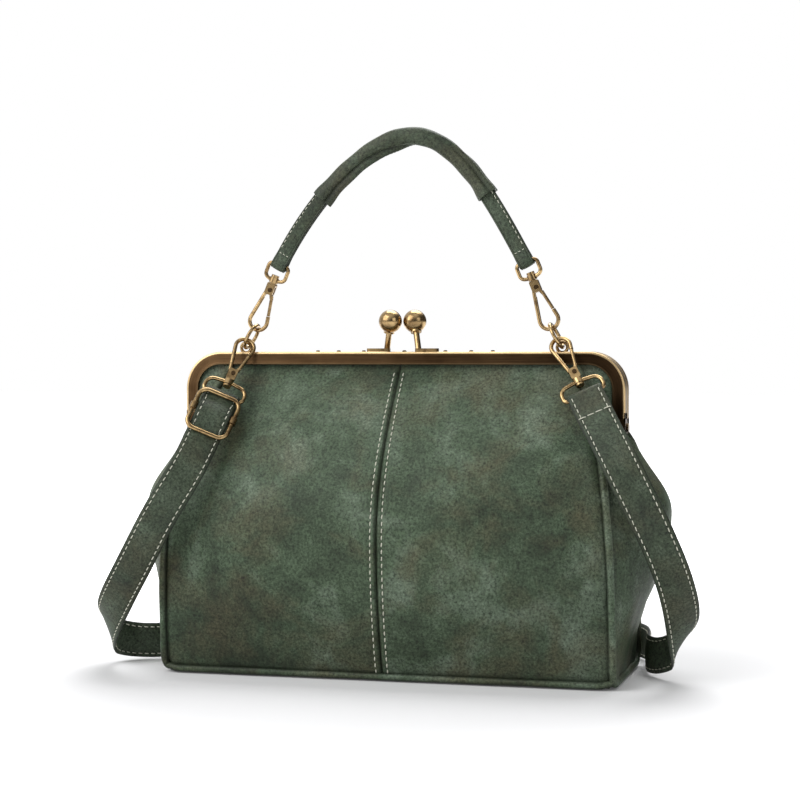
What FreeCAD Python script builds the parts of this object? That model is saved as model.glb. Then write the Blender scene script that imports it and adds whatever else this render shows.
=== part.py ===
import FreeCAD, Part
import math
import os
import Sketcher
from FreeCAD import Matrix, Placement, Rotation, Vector

# Kiss lock frame handbag, in millimetres.
# +Z is up, -Y is the front, and the origin is on the floor under the middle of the base.

DOC = FreeCAD.newDocument("kiss_lock_handbag")

# Driving dimensions: alias, value, meaning.
SIZES = [
    ("frame_width", 256.0, "outer width of the metal frame"),
    ("frame_top", 180.0, "height of the top of the frame above the floor"),
    ("frame_corner", 21.0, "outer radius of the frame's upper corners"),
    ("arm_foot", 143.0, "height at which the channel of each arm ends"),
    ("hinge_height", 138.0, "height of the hinge pins"),
    ("hinge_pin_dia", 3.0, "diameter of a hinge pin"),
    ("hinge_pin_head", 5.0, "diameter of a hinge pin's heads"),
    ("pin_play", 0.05, "radial play of pins and rivets in their holes"),
    ("lug_radius", 3.4, "radius of the hinge lugs round the pin"),
    ("lug_sheet", 0.6, "thickness of the front half's lugs"),
    ("lug_play", 0.2, "gap between the lugs of the two halves"),
    ("channel_wall", 0.8, "sheet thickness of the channels"),
    ("channel_face", 7.4, "height of the channel's outer face"),
    ("channel_back", 6.0, "height of the channel's inner face"),
    ("channel_depth", 7.0, "depth of one half, front to back"),
    ("half_gap", 0.6, "gap between the two closed halves"),
    ("ball_dia", 13.2, "diameter of the kiss lock balls"),
    ("ball_pass", 0.3, "gap between the balls as they pass"),
    ("ball_rise", 17.2, "height of the ball centres above the frame"),
    ("ball_lean", 1.6, "how far each ball leans past the middle"),
    ("stem_dia", 3.4, "diameter of the kiss lock stems"),
    ("collar_dia", 6.2, "diameter of the collar under a ball"),
    ("foot_length", 13.5, "length of a stem's foot plate"),
    ("foot_sheet", 1.9, "thickness of a stem's foot plate"),
    ("foot_corner", 2.1, "corner radius of a stem's foot plate"),
    ("rivet_dia", 2.6, "diameter of the rivet heads on the back half"),
    ("rivet_crown", 1.7, "diameter of the flat on top of those rivet heads"),
    ("rivet_rise", 0.8, "height of the rivet heads on the back half"),
    ("eyelet_place", 92.5, "distance of the eyelets from the middle"),
    ("eyelet_radius", 2.9, "centre line radius of an eyelet"),
    ("eyelet_wire", 1.8, "wire diameter of an eyelet"),
    ("eyelet_rise", 2.4, "height of an eyelet's centre above the frame"),
    ("link_radius", 7.25, "centre line radius of a link ring"),
    ("link_wire", 2.1, "wire diameter of a link ring"),
    ("link_lean", 28.0, "lean of the link rings, in degrees"),
    ("hook_wire", 2.3, "wire diameter of the snap hooks"),
    ("hook_nose", 5.3, "centre line radius of a snap hook's nose"),
    ("hook_play", 0.25, "gap between the moving pieces of a hook"),
    ("handle_ring_play", 0.5, "gap between a handle hook and the link ring"),
    ("strap_ring_play", 1.0, "gap between a strap hook and the link ring"),
    ("hook_shoulder", 2.0, "distance of a hook's wires from its axis at the head"),
    ("head_low", 21.8, "where a hook's head starts, from the nose"),
    ("head_high", 28.7, "where a hook's head ends, from the nose"),
    ("head_width", 5.2, "width of a hook's head"),
    ("head_thick", 3.6, "thickness of a hook's head"),
    ("head_corner", 0.85, "corner radius of a hook's head"),
    ("gate_pivot", 24.6, "place of the gate's rivet, from the nose"),
    ("gate_offset", 0.4, "sideways place of the gate's rivet"),
    ("gate_start", 10.0, "where the gate starts, from the nose"),
    ("gate_dia", 1.9, "diameter of the gate's rod"),
    ("gate_sheet", 1.5, "thickness of the gate's eye"),
    ("gate_rivet", 1.6, "diameter of the gate's rivet"),
    ("gate_rivet_head", 2.6, "diameter of the gate rivet's heads"),
    ("gate_rivet_rise", 0.4, "height of the gate rivet's heads"),
    ("gate_play", 0.1, "side play of the gate's eye in the head"),
    ("stud_dia", 2.6, "diameter of the swivel stud"),
    ("stud_head_dia", 4.6, "diameter of the swivel stud's riveted end"),
    ("swivel_dia", 5.2, "diameter of the swivel collar"),
    ("swivel_low", 29.0, "where the swivel collar starts, from the nose"),
    ("swivel_high", 32.2, "where the swivel collar ends, from the nose"),
    ("loop_bar", 40.0, "place of the loop's bar, from the nose"),
    ("loop_flare", 0.12, "share of a loop's height over which its sides spread"),
    ("loop_wire", 2.2, "wire diameter of the loops"),
    ("loop_corner", 2.4, "radius of the loops' corners beside the bar"),
    ("handle_loop_shoulder", 2.9, "radius of a handle loop's shoulders"),
    ("strap_loop_shoulder", 4.8, "radius of a strap loop's shoulders"),
    ("handle_loop", 10.2, "inner width of a handle loop"),
    ("strap_loop", 21.4, "inner width of a strap loop"),
    ("strap_hook_reach", 0.83, "how far forward in the link ring a strap hook lies, as a share"),
    ("handle_lean", 22.0, "lean of the handle hooks, in degrees"),
    ("handle_rise", 72.0, "rise of the handle's arch above its loops"),
    ("handle_power", 1.86, "fullness of the handle's arch"),
    ("arch_lean", 6.0, "how far the top of the handle's arch leans to the right"),
    ("handle_width", 9.0, "width of the handle strap at its ends"),
    ("handle_thick", 4.6, "thickness of the handle strap"),
    ("core_width", 5.6, "width of the handle strap inside the grip"),
    ("core_thick", 3.4, "thickness of the handle strap inside the grip"),
    ("core_taper", 3.0, "length over which the handle strap draws in before the grip"),
    ("grip_half", 48.5, "half span of the grip sleeve"),
    ("grip_width", 10.6, "width of the grip sleeve"),
    ("grip_thick", 9.0, "thickness of the grip sleeve"),
    ("grip_wall", 1.3, "wall of the grip sleeve"),
    ("body_width", 254.0, "width of the body at its base"),
    ("panel_top_width", 192.0, "width of the panels where they enter the frame"),
    ("shoulder_power", 3.6, "how late the panels narrow towards the frame"),
    ("body_depth", 88.0, "depth of the body at its base"),
    ("bulge_depth", 115.0, "depth of the body at the middle of its bulge"),
    ("bulge_edge_depth", 98.0, "depth of the body at the piping, at the bulge"),
    ("bulge_height", 78.0, "height of the bulge"),
    ("panel_thick", 2.0, "thickness of the leather panels"),
    ("gusset_thick", 1.6, "thickness of the gussets"),
    ("ear_width", 304.0, "width of the body across the gussets' ears"),
    ("ear_height", 92.0, "height of the gussets' ears"),
    ("gusset_clear", 0.6, "gap between a gusset's upper edge and the hinge pin's head"),
    ("piping_dia", 4.2, "diameter of the piping"),
    ("piping_lift", 2.4, "height of the bottom piping's centre line"),
    ("piping_corner", 10.0, "radius of the piping at the base corners"),
    ("seam_gap", 0.3, "gap between soft pieces that are sewn together"),
    ("mouth_drop", 1.0, "height of the panels' upper bend below the frame's face"),
    ("base_thick", 2.4, "thickness of the bottom panel"),
    ("board_thick", 1.6, "thickness of the base board"),
    ("board_inset", 4.0, "distance of the base board from the bottom panel's edge"),
    ("lining_thick", 0.6, "thickness of the lining"),
    ("lining_gap", 0.9, "gap between the lining and the leather"),
    ("strap_width", 20.0, "width of the shoulder strap"),
    ("strap_thick", 1.8, "thickness of the shoulder strap"),
    ("fold_length", 22.0, "length of the strap's folded right end behind the strap"),
    ("slider_fold", 11.5, "length of its folded left end, above the slider"),
    ("fold_play", 0.2, "gap between a strap's fold and the bar in it"),
    ("slider_length", 28.4, "outer length of the slider along the strap"),
    ("slider_side_gap", 0.6, "gap between the strap's edge and the slider's rail"),
    ("slider_wire", 2.6, "wire diameter of the slider"),
    ("slider_bar_dia", 2.4, "diameter of the slider's centre bar"),
    ("slider_link_dia", 1.8, "diameter of the links from the centre bar to its collars"),
    ("slider_collar", 4.0, "length of the slider's collars"),
    ("slider_collar_wall", 0.8, "wall of the slider's collars"),
    ("slider_place", 15.0, "distance of the slider from the strap loop's bar"),
    ("slider_play", 0.3, "gap between the strap and the slider's bars"),
]


def make_sheet():
    """Put every driving dimension into the spreadsheet under its alias."""
    page = DOC.addObject("Spreadsheet::Sheet", "Sizes")
    for row, (alias, value, meaning) in enumerate(SIZES, start=1):
        page.set(f"A{row}", meaning)
        page.set(f"B{row}", str(value))
        page.setAlias(f"B{row}", alias)
    DOC.recompute()
    return page


SHEET = make_sheet()
PIECES = []


def size(alias):
    """Read one driving dimension from the spreadsheet."""
    return float(SHEET.get(alias))


def bind(thing, prop, formula):
    """Tie a property of a document object to the spreadsheet's cells."""
    thing.setExpression(prop, formula)


def piece(thing, label):
    """Name a finished sub-part."""
    thing.Label = label
    PIECES.append(thing)
    return thing


def shaped(label, shape, place=None):
    """Add a sub-part whose shape is worked out in code."""
    thing = DOC.addObject("Part::Feature", "Shape_" + label)
    thing.Shape = shape
    thing.Placement = place or Placement()
    return piece(thing, label)


def clean(shape):
    """Merge split faces of a boolean result."""
    return shape.removeSplitter()


# Curves and sections

def circle_wire(centre, normal, radius):
    """A round section."""
    return Part.Wire([Part.Circle(centre, normal, radius).toShape()])


def polygon_wire(points):
    """A closed section of straight edges."""
    return Part.makePolygon(list(points) + [points[0]])


def arc_edge(start, middle, end):
    """A circular edge through three points, or a line where they are in one line."""
    if (middle - start).cross(end - start).Length < 1e-6:
        return Part.LineSegment(start, end).toShape()
    return Part.Arc(start, middle, end).toShape()


def rounded_path(points, radii, closed=False):
    """Straight edges through the points, joined by tangent arcs, with a radius for each corner."""
    count = len(points)
    corners = range(count) if closed else range(1, count - 1)
    edges = []
    ends = {}
    for index in corners:
        corner = points[index]
        before = (points[index - 1] - corner).normalize()
        after = (points[(index + 1) % count] - corner).normalize()
        half = math.acos(max(-1.0, min(1.0, before.dot(after)))) / 2
        radius = radii[index]
        reach = radius / math.tan(half)
        inward = (before + after).normalize()
        middle = corner + inward * (radius / math.sin(half) - radius)
        ends[index] = (corner + before * reach, middle, corner + after * reach)
    for index in range(count if closed else count - 1):
        following = (index + 1) % count
        start = ends[index][2] if index in ends else points[index]
        finish = ends[following][0] if following in ends else points[following]
        if (finish - start).Length > 1e-6:
            edges.append(Part.LineSegment(start, finish).toShape())
        if following in ends:
            edges.append(Part.Arc(*ends[following]).toShape())
    return Part.Wire(edges)


def wire_form(path, diameter):
    """A round wire bent along a path of lines and arcs."""
    first = path.OrderedEdges[0]
    start = first.valueAt(first.FirstParameter)
    along = first.tangentAt(first.FirstParameter)
    return path.makePipeShell([circle_wire(start, along, diameter / 2)], True, True)


def rod(start, end, diameter):
    """A straight round rod between two points."""
    run = end - start
    return Part.makeCylinder(diameter / 2, run.Length, start, run)


def frame_placement(across, front, along, origin):
    """A placement whose local X, Y and Z point along three given directions."""
    return Placement(Matrix(
        across.x, front.x, along.x, origin.x,
        across.y, front.y, along.y, origin.y,
        across.z, front.z, along.z, origin.z,
        0, 0, 0, 1))


# The frame

def arch_sketch(body, name, band_formula):
    """An inverted U band on the XZ plane, with its sizes tied to the sheet."""
    sketch = body.newObject("Sketcher::SketchObject", name)
    plane = [p for p in body.Origin.OriginFeatures if p.Role == "XZ_Plane"][0]
    sketch.AttachmentSupport = [(plane, "")]
    sketch.MapMode = "FlatFace"
    half = size("frame_width") / 2
    top = size("frame_top")
    foot = size("arm_foot")
    corner = size("frame_corner")
    band = 1.0
    shelf = top - corner
    inner = corner - band
    quarter = math.pi / 2
    left = Vector(corner - half, shelf, 0)
    right = Vector(half - corner, shelf, 0)
    axis = Vector(0, 0, 1)

    def line(x1, y1, x2, y2):
        return Part.LineSegment(Vector(x1, y1, 0), Vector(x2, y2, 0))

    sketch.addGeometry([
        line(-half, foot, -half, shelf),
        Part.ArcOfCircle(Part.Circle(left, axis, corner), quarter, 2 * quarter),
        line(left.x, top, right.x, top),
        Part.ArcOfCircle(Part.Circle(right, axis, corner), 0, quarter),
        line(half, shelf, half, foot),
        line(half, foot, half - band, foot),
        line(half - band, foot, half - band, shelf),
        Part.ArcOfCircle(Part.Circle(right, axis, inner), 0, quarter),
        line(right.x, top - band, left.x, top - band),
        Part.ArcOfCircle(Part.Circle(left, axis, inner), quarter, 2 * quarter),
        line(band - half, shelf, band - half, foot),
        line(band - half, foot, -half, foot),
    ])
    smooth = [(0, 2, 1, 2), (1, 1, 2, 1), (2, 2, 3, 2), (3, 1, 4, 1),
              (6, 2, 7, 1), (7, 2, 8, 1), (8, 2, 9, 1), (9, 2, 10, 1)]
    sharp = [(4, 2, 5, 1), (5, 2, 6, 1), (10, 2, 11, 1), (11, 2, 0, 1), (1, 3, 9, 3), (3, 3, 7, 3)]
    for ends in smooth:
        sketch.addConstraint(Sketcher.Constraint("Tangent", *ends))
    for ends in sharp:
        sketch.addConstraint(Sketcher.Constraint("Coincident", *ends))
    for index in (0, 4, 6, 10):
        sketch.addConstraint(Sketcher.Constraint("Vertical", index))
    for index in (2, 5, 8, 11):
        sketch.addConstraint(Sketcher.Constraint("Horizontal", index))
    sketch.addConstraint(Sketcher.Constraint("Equal", 1, 3))
    sketch.addConstraint(Sketcher.Constraint("Symmetric", 0, 1, 4, 2, -2))
    driving = [
        (Sketcher.Constraint("DistanceX", 0, 1, 4, 2, 2 * half), "Sizes.frame_width"),
        (Sketcher.Constraint("Radius", 1, corner), "Sizes.frame_corner"),
        (Sketcher.Constraint("DistanceY", -1, 1, 2, 1, top), "Sizes.frame_top"),
        (Sketcher.Constraint("DistanceY", -1, 1, 0, 1, foot), "Sizes.arm_foot"),
        (Sketcher.Constraint("DistanceX", 5, 2, 5, 1, band), band_formula),
    ]
    for constraint, formula in driving:
        index = sketch.addConstraint(constraint)
        bind(sketch, f"Constraints[{index}]", formula)
    return sketch


def arch_pad(body, name, band_formula, back_formula, depth_formula):
    """One wall of a channel: an arch band padded towards the front from a given depth."""
    sketch = arch_sketch(body, name + "_outline", band_formula)
    bind(sketch, "AttachmentOffset.Base.z", f"-({back_formula})")
    pad = body.newObject("PartDesign::Pad", name)
    pad.Profile = sketch
    bind(pad, "Length", depth_formula)


def channel_body(side):
    """The bent channel of one half: outer face, rim and inner face."""
    name = "front" if side < 0 else "back"
    body = DOC.addObject("PartDesign::Body", name + "_channel")
    near = "Sizes.half_gap / 2"
    far = "(Sizes.half_gap / 2 + Sizes.channel_depth)"
    wall = "Sizes.channel_wall"
    if side < 0:
        rim, face, back = f"-{near}", f"{wall} - {far}", f"-{near}"
    else:
        rim, face, back = far, far, f"{near} + {wall}"
    arch_pad(body, name + "_rim", wall, rim, "Sizes.channel_depth")
    arch_pad(body, name + "_face", "Sizes.channel_face", face, wall)
    arch_pad(body, name + "_back", "Sizes.channel_back", back, wall)
    return body


def lug_layer(side):
    """Inner and outer distance of a half's lugs from the middle."""
    outer = size("frame_width") / 2
    if side < 0:
        return outer - size("lug_sheet"), outer
    high = outer - size("lug_sheet") - size("lug_play")
    return high - size("channel_wall"), high


def frame_half(side):
    """One half of the frame: its channel with two hinge lugs, drilled for the pins."""
    body = channel_body(side)
    name = "front" if side < 0 else "back"
    hinge = size("hinge_height")
    reach = size("half_gap") / 2 + size("channel_depth") / 2
    low, high = lug_layer(side)
    neck_top = size("arm_foot") + size("lug_radius")
    lugs = []
    for hand in (-1, 1):
        start = low if hand > 0 else -high
        eye = Vector(start, 0, hinge)
        disc = Part.makeCylinder(size("lug_radius"), high - low, eye, Vector(1, 0, 0))
        neck = Part.makeBox(high - low, reach, neck_top - hinge, Vector(start, min(0, side * reach), hinge))
        lugs.append(disc.fuse(neck))
    holes = DOC.addObject("Part::Cylinder", name + "_pin_hole")
    bind(holes, "Radius", "Sizes.hinge_pin_dia / 2 + Sizes.pin_play")
    bind(holes, "Height", "Sizes.frame_width + 2 * Sizes.channel_wall")
    holes.Placement = Placement(Vector(), FreeCAD.Rotation(Vector(0, 1, 0), 90))
    bind(holes, "Placement.Base.x", "-Sizes.frame_width / 2 - Sizes.channel_wall")
    bind(holes, "Placement.Base.z", "Sizes.hinge_height")
    ears = DOC.addObject("Part::Feature", name + "_lugs")
    ears.Shape = lugs[0].fuse(lugs[1])
    joined = DOC.addObject("Part::Fuse", name + "_joined")
    joined.Base = body
    joined.Tool = ears
    drilled = DOC.addObject("Part::Cut", name + "_drilled")
    drilled.Base = joined
    drilled.Tool = holes
    return piece(drilled, name + "_frame_channel")


def hinge_pins():
    """The two headed pins that both halves turn on."""
    hinge = size("hinge_height")
    inside = lug_layer(1)[0] - size("lug_play")
    outside = size("frame_width") / 2 + size("lug_play")
    head = size("channel_wall")
    pins = []
    for hand in (-1, 1):
        def at(x):
            return Vector(hand * x, 0, hinge)
        shank = rod(at(inside), at(outside), size("hinge_pin_dia"))
        outer_head = rod(at(outside), at(outside + head), size("hinge_pin_head"))
        inner_head = rod(at(inside - head), at(inside), size("hinge_pin_head"))
        pins.append(clean(shank.multiFuse([outer_head, inner_head])))
    shaped("hinge_pins", Part.makeCompound(pins))


def half_middle(side):
    """Distance of the middle of a half's channel from the frame's middle plane."""
    return side * (size("half_gap") + size("channel_depth")) / 2


def kiss_lock(side):
    """A ball on a bent stem: its foot plate is on one half, and the ball leans over the other."""
    name = "front" if side < 0 else "back"
    hand = 1 if side < 0 else -1
    top = size("frame_top")
    radius = size("ball_dia") / 2
    spread = radius + size("ball_pass") / 2
    centre = Vector(hand * spread, -side * size("ball_lean"), top + size("ball_rise"))
    ball = DOC.addObject("Part::Sphere", name + "_ball")
    bind(ball, "Radius", "Sizes.ball_dia / 2")
    bind(ball, "Placement.Base.x", f"{hand} * (Sizes.ball_dia / 2 + Sizes.ball_pass / 2)")
    bind(ball, "Placement.Base.y", f"{-side} * Sizes.ball_lean")
    bind(ball, "Placement.Base.z", "Sizes.frame_top + Sizes.ball_rise")
    seat_depth = math.sqrt(radius ** 2 - (size("collar_dia") / 2) ** 2)
    middle = half_middle(side)
    plate_start = hand * (spread + size("stem_dia") / 2)
    base = Vector(plate_start + hand * size("stem_dia") / 2, middle, top + size("foot_sheet"))
    lean = Vector(centre.x - base.x, centre.y - base.y, size("ball_rise") - size("foot_sheet")).normalize()
    collar_top = centre - lean * (seat_depth - size("foot_sheet") / 2)
    collar = Part.makeCylinder(size("collar_dia") / 2, size("foot_sheet"),
                               collar_top - lean * size("foot_sheet"), lean)
    bury = lean * (size("foot_sheet") / 2)
    stem = rod(base - bury, collar_top - bury, size("stem_dia"))
    plate_width = size("channel_depth") - 2 * size("channel_wall")
    corner = Vector(plate_start if hand > 0 else plate_start - size("foot_length"),
                    middle - plate_width / 2, top)
    plate = Part.makeBox(size("foot_length"), plate_width, size("foot_sheet"), corner)
    plate = plate.makeFillet(size("foot_corner"), [e for e in plate.Edges if abs(e.tangentAt(0).z) > 0.9])
    room = 4 * radius
    below = Part.makeBox(room, room, room, Vector(-room / 2, -room / 2, top - room))
    socket = Part.makeSphere(radius, centre)
    stem = clean(plate.multiFuse([stem, collar]).cut(socket).cut(below))
    piece(ball, name + "_clasp_ball")
    shaped(name + "_clasp_stem", stem)


# Distances of the back half's rivets from the middle.
RIVET_PLACES = (24.0, 39.0, 51.5)


def back_rivets():
    """Small rivet heads along the top of the back half."""
    spots = [0.0]
    for distance in RIVET_PLACES:
        spots += [-distance, distance]
    heads = []
    for spot in sorted(spots):
        foot = Vector(spot, half_middle(1), size("frame_top"))
        heads.append(Part.makeCone(size("rivet_dia") / 2, size("rivet_crown") / 2, size("rivet_rise"), foot))
    shaped("back_frame_rivets", Part.makeCompound(heads))


def eyelet_centre(hand):
    """Centre of the hole of an eyelet on top of the front half."""
    return Vector(hand * size("eyelet_place"), half_middle(-1), size("frame_top") + size("eyelet_rise"))


def eyelet(hand, name):
    """A wire eyelet that stands on top of the front half."""
    centre = eyelet_centre(hand)
    ring = Part.makeTorus(size("eyelet_radius"), size("eyelet_wire") / 2, centre, Vector(0, 1, 0))
    room = 4 * size("eyelet_radius")
    below = Part.makeBox(room, room, room, Vector(centre.x - room / 2, centre.y - room / 2,
                                                  size("frame_top") - room))
    shaped(name + "_eyelet", ring.cut(below))


def link_direction(hand):
    """The way a link ring leans: up and towards the middle."""
    lean = math.radians(size("link_lean"))
    return Vector(-hand * math.sin(lean), 0, math.cos(lean))


def link_ring(hand, name):
    """The round ring through an eyelet, which holds two hooks."""
    ring = DOC.addObject("Part::Torus", name + "_ring")
    bind(ring, "Radius1", "Sizes.link_radius")
    bind(ring, "Radius2", "Sizes.link_wire / 2")
    up = link_direction(hand)
    centre = eyelet_centre(hand) + up * size("link_radius")
    across = Vector(0, 1, 0)
    ring.Placement = frame_placement(across, up, across.cross(up), centre)
    piece(ring, name + "_link_ring")


# The snap hooks, in a local frame: Z runs from the nose to the loop, X is across, and Y is square to both

def nose_tangent(hand):
    """Where the straight side of a hook leaves the round nose, and where it meets the head."""
    radius = size("hook_nose")
    centre = Vector(0, 0, radius)
    shoulder = Vector(hand * size("hook_shoulder"), 0, size("head_low") + size("hook_wire") / 2)
    run = shoulder - centre
    turn = math.acos(radius / run.Length)
    angle = math.atan2(run.z, run.x) - hand * turn
    return centre + Vector(math.cos(angle), 0, math.sin(angle)) * radius, shoulder


def gate_line():
    """The two ends of the straight line that the gate's rod follows."""
    low, high = nose_tangent(1)
    way = (high - low).normalize()
    start = low + way * ((size("gate_start") - low.z) / way.z)
    end = low + way * ((size("head_low") - size("hook_play") - low.z) / way.z)
    return start, end


def hook_shape():
    """The bent wire, forked head and swivel stud of a snap hook."""
    left, shoulder = nose_tangent(-1)
    right = nose_tangent(1)[0]
    gate_foot = gate_line()[0] - (gate_line()[1] - gate_line()[0]).normalize() * size("hook_play")
    path = Part.Wire([
        Part.LineSegment(shoulder, left).toShape(),
        Part.Arc(left, Vector(0, 0, 0), right).toShape(),
        Part.LineSegment(right, gate_foot).toShape(),
    ])
    wire = wire_form(path, size("hook_wire"))
    width = size("head_width")
    thick = size("head_thick")
    low = size("head_low")
    high = size("head_high")
    head = Part.makeBox(width, thick, high - low, Vector(-width / 2, -thick / 2, low))
    head = head.makeFillet(size("head_corner"), [e for e in head.Edges if abs(e.tangentAt(0).y) > 0.9])
    stud_top = size("swivel_high") + size("hook_play")
    stud = Part.makeCylinder(size("stud_dia") / 2, stud_top - high + size("hook_wire"),
                             Vector(0, 0, high - size("hook_wire") / 2))
    cap = Part.makeCylinder(size("stud_head_dia") / 2, size("hook_wire") / 2, Vector(0, 0, stud_top))
    slot_width = size("gate_sheet") + 2 * size("gate_play")
    eye_room = size("gate_dia") + size("hook_play")
    slot_roof = size("gate_pivot") + eye_room
    slot_floor = low - size("hook_wire")
    slot_side = size("gate_offset") - eye_room
    slot_corner = Vector(slot_side, -slot_width / 2, slot_floor)
    slot = Part.makeBox(width, slot_width, slot_roof - slot_floor, slot_corner)
    hole = Part.makeCylinder(size("gate_rivet") / 2 + size("pin_play"), 2 * thick,
                             Vector(size("gate_offset"), -thick, size("gate_pivot")), Vector(0, 1, 0))
    return clean(wire.multiFuse([head, stud, cap]).cut(slot).cut(hole))


def gate_shape():
    """The gate: a rod with a flat eye that turns on the rivet."""
    start, end = gate_line()
    bar = rod(start, end, size("gate_dia"))
    sheet = size("gate_sheet")
    pivot = Vector(size("gate_offset"), 0, size("gate_pivot"))
    eye_radius = size("gate_dia")
    eye = Part.makeCylinder(eye_radius, sheet, pivot - Vector(0, sheet / 2, 0), Vector(0, 1, 0))
    foot = end - (end - start).normalize() * size("gate_dia")
    side = Vector(size("gate_dia") / 2, 0, 0)
    shank = Part.Face(polygon_wire([foot - side, foot + side, pivot + side, pivot - side]))
    shank.translate(Vector(0, -sheet / 2, 0))
    shank = shank.extrude(Vector(0, sheet, 0))
    hole = Part.makeCylinder(size("gate_rivet") / 2 + size("pin_play"), 2 * sheet,
                             pivot - Vector(0, sheet, 0), Vector(0, 1, 0))
    return clean(bar.multiFuse([eye, shank]).cut(hole))


def gate_rivet_shape():
    """The headed rivet through the hook's head and the gate's eye."""
    half = size("head_thick") / 2
    head = size("gate_rivet_rise")
    pivot = Vector(size("gate_offset"), 0, size("gate_pivot"))
    out = Vector(0, 1, 0)
    shank = rod(pivot - out * half, pivot + out * half, size("gate_rivet"))
    heads = [rod(pivot + out * way * half, pivot + out * way * (half + head), size("gate_rivet_head"))
             for way in (-1, 1)]
    return clean(shank.multiFuse(heads))


def loop_shape(inner_width, round_shoulder):
    """A wire loop on its swivel collar."""
    half = (inner_width + size("loop_wire")) / 2
    bar = size("loop_bar")
    neck = (size("swivel_low") + size("swivel_high")) / 2
    root = size("swivel_dia") / 2
    shoulder = neck + (bar - neck) * size("loop_flare")
    points = [Vector(x, 0, z) for x, z in (
        (-half, bar), (half, bar), (half, shoulder), (root, neck), (-root, neck), (-half, shoulder))]
    corner = size("loop_corner")
    radii = [corner, corner, round_shoulder, corner, corner, round_shoulder]
    wire = wire_form(rounded_path(points, radii, True), size("loop_wire"))
    collar_low = size("swivel_low")
    collar = Part.makeCylinder(root, size("swivel_high") - collar_low, Vector(0, 0, collar_low))
    start = size("swivel_low") - size("hook_play")
    bore = Part.makeCylinder(size("stud_dia") / 2 + size("pin_play"), bar - start - size("loop_wire"),
                             Vector(0, 0, start))
    return clean(wire.fuse(collar).cut(bore))


def snap_hook(name, place, loop):
    """A whole snap hook: hook, gate, rivet and loop, placed as one set."""
    shaped(name + "_hook", hook_shape(), place)
    shaped(name + "_gate", gate_shape(), place)
    shaped(name + "_gate_rivet", gate_rivet_shape(), place)
    shaped(name + "_loop", loop_shape(size(loop), size(loop + "_shoulder")), place)


def handle_hook_place(hand):
    """Placement of a handle hook: its nose hangs in the top of the link ring."""
    lean = math.radians(size("handle_lean"))
    along = Vector(-hand * math.sin(lean), 0, math.cos(lean))
    across = Vector(math.cos(lean), 0, hand * math.sin(lean))
    apart = (size("link_wire") + size("hook_wire")) / 2 + size("handle_ring_play")
    nose = eyelet_centre(hand) + link_direction(hand) * (2 * size("link_radius") - apart)
    return frame_placement(across, Vector(0, 1, 0), along, nose)


# The way that the strap hooks hang, and how far they are turned about it, in degrees.
STRAP_WAY = {-1: Vector(-0.185, -0.585, -0.79), 1: Vector(0.47, -0.46, -0.753)}
STRAP_TURN = {-1: -25.0, 1: 0.0}


def strap_hook_place(hand):
    """Placement of a strap hook: its nose lies over the front of the link ring."""
    along = Vector(STRAP_WAY[hand]).normalize()
    sideways = Vector(1, 0, 0)
    across = (sideways - along * sideways.dot(along)).normalize()
    across = Rotation(along, STRAP_TURN[hand]).multVec(across)
    front = along.cross(across)
    clear = size("link_radius") - (size("link_wire") + size("hook_wire")) / 2 - size("strap_ring_play")
    forward = size("strap_hook_reach") * clear
    down = math.sqrt(clear ** 2 - forward ** 2)
    nose = eyelet_centre(hand) + link_direction(hand) * (size("link_radius") - down) - Vector(0, forward, 0)
    return frame_placement(across, front, along, nose)


# The handle

GRIP_SIDES = 12
ARCH_STEPS = 14


def handle_end(hand):
    """Where the handle's arch ends: at the bar of a handle loop."""
    return handle_hook_place(hand).multVec(Vector(0, 0, size("loop_bar")))


def arch_station(x):
    """A point of the handle's arch, with the arch's direction and its outward side."""
    end = handle_end(1)
    share = min(1.0, abs(x) / end.x)
    power = size("handle_power")
    rise = size("handle_rise")
    lean = size("arch_lean")
    aside = lean * (1 - share ** 2) ** 2
    point = Vector(x + aside, end.y, end.z + rise * (1 - share ** power))
    slope = -math.copysign(rise * power / end.x * share ** (power - 1), x)
    shear = -math.copysign(4 * lean / end.x * share * (1 - share ** 2), x)
    along = Vector(1 + shear, 0, slope).normalize()
    return point, along, Vector(0, 1, 0).cross(along) * -1


def arch_spots(half_span, count):
    """Places along the arch, closer together near the ends."""
    return [half_span * math.sin(math.pi / 2 * (2 * k / count - 1)) for k in range(count + 1)]


def handle_section(x, width, thick):
    """A rectangular section of the handle strap."""
    point, along, outward = arch_station(x)
    wide = outward * (width / 2)
    deep = Vector(0, thick / 2, 0)
    return polygon_wire([point - wide - deep, point + wide - deep, point + wide + deep, point - wide + deep])


def grip_section(x, width, thick):
    """A many-sided round section of the grip sleeve."""
    point, along, outward = arch_station(x)
    corners = []
    for k in range(GRIP_SIDES):
        angle = 2 * math.pi * k / GRIP_SIDES
        corners.append(point + outward * (width / 2 * math.cos(angle))
                       + Vector(0, thick / 2 * math.sin(angle), 0))
    return polygon_wire(corners)


def handle_strap():
    """The handle's leather strap: flat ends folded round the loops, drawn in under the grip."""
    end = handle_end(1)
    wide = size("handle_width")
    thick = size("handle_thick")
    grip = size("grip_half")
    neck = grip + size("core_taper") / 2
    full = neck + size("core_taper")
    outside = [full, (full + end.x) / 2, end.x]
    sections = [handle_section(-x, wide, thick) for x in reversed(outside)]
    core = (size("core_width"), size("core_thick"))
    sections += [handle_section(x, *core) for x in arch_spots(neck, ARCH_STEPS)]
    sections += [handle_section(x, wide, thick) for x in outside]
    strap = Part.makeLoft(sections, True, True)
    for hand in (-1, 1):
        place = handle_hook_place(hand)
        across = place.Rotation.multVec(Vector(1, 0, 0))
        middle = handle_end(hand)
        start = middle - across * (wide / 2)
        fold = Part.makeCylinder(thick / 2, wide, start, across)
        bore = Part.makeCylinder(size("loop_wire") / 2 + size("fold_play"), 3 * wide,
                                 middle - across * (1.5 * wide), across)
        strap = strap.fuse(fold).cut(bore)
    shaped("handle_strap", clean(strap))


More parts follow.
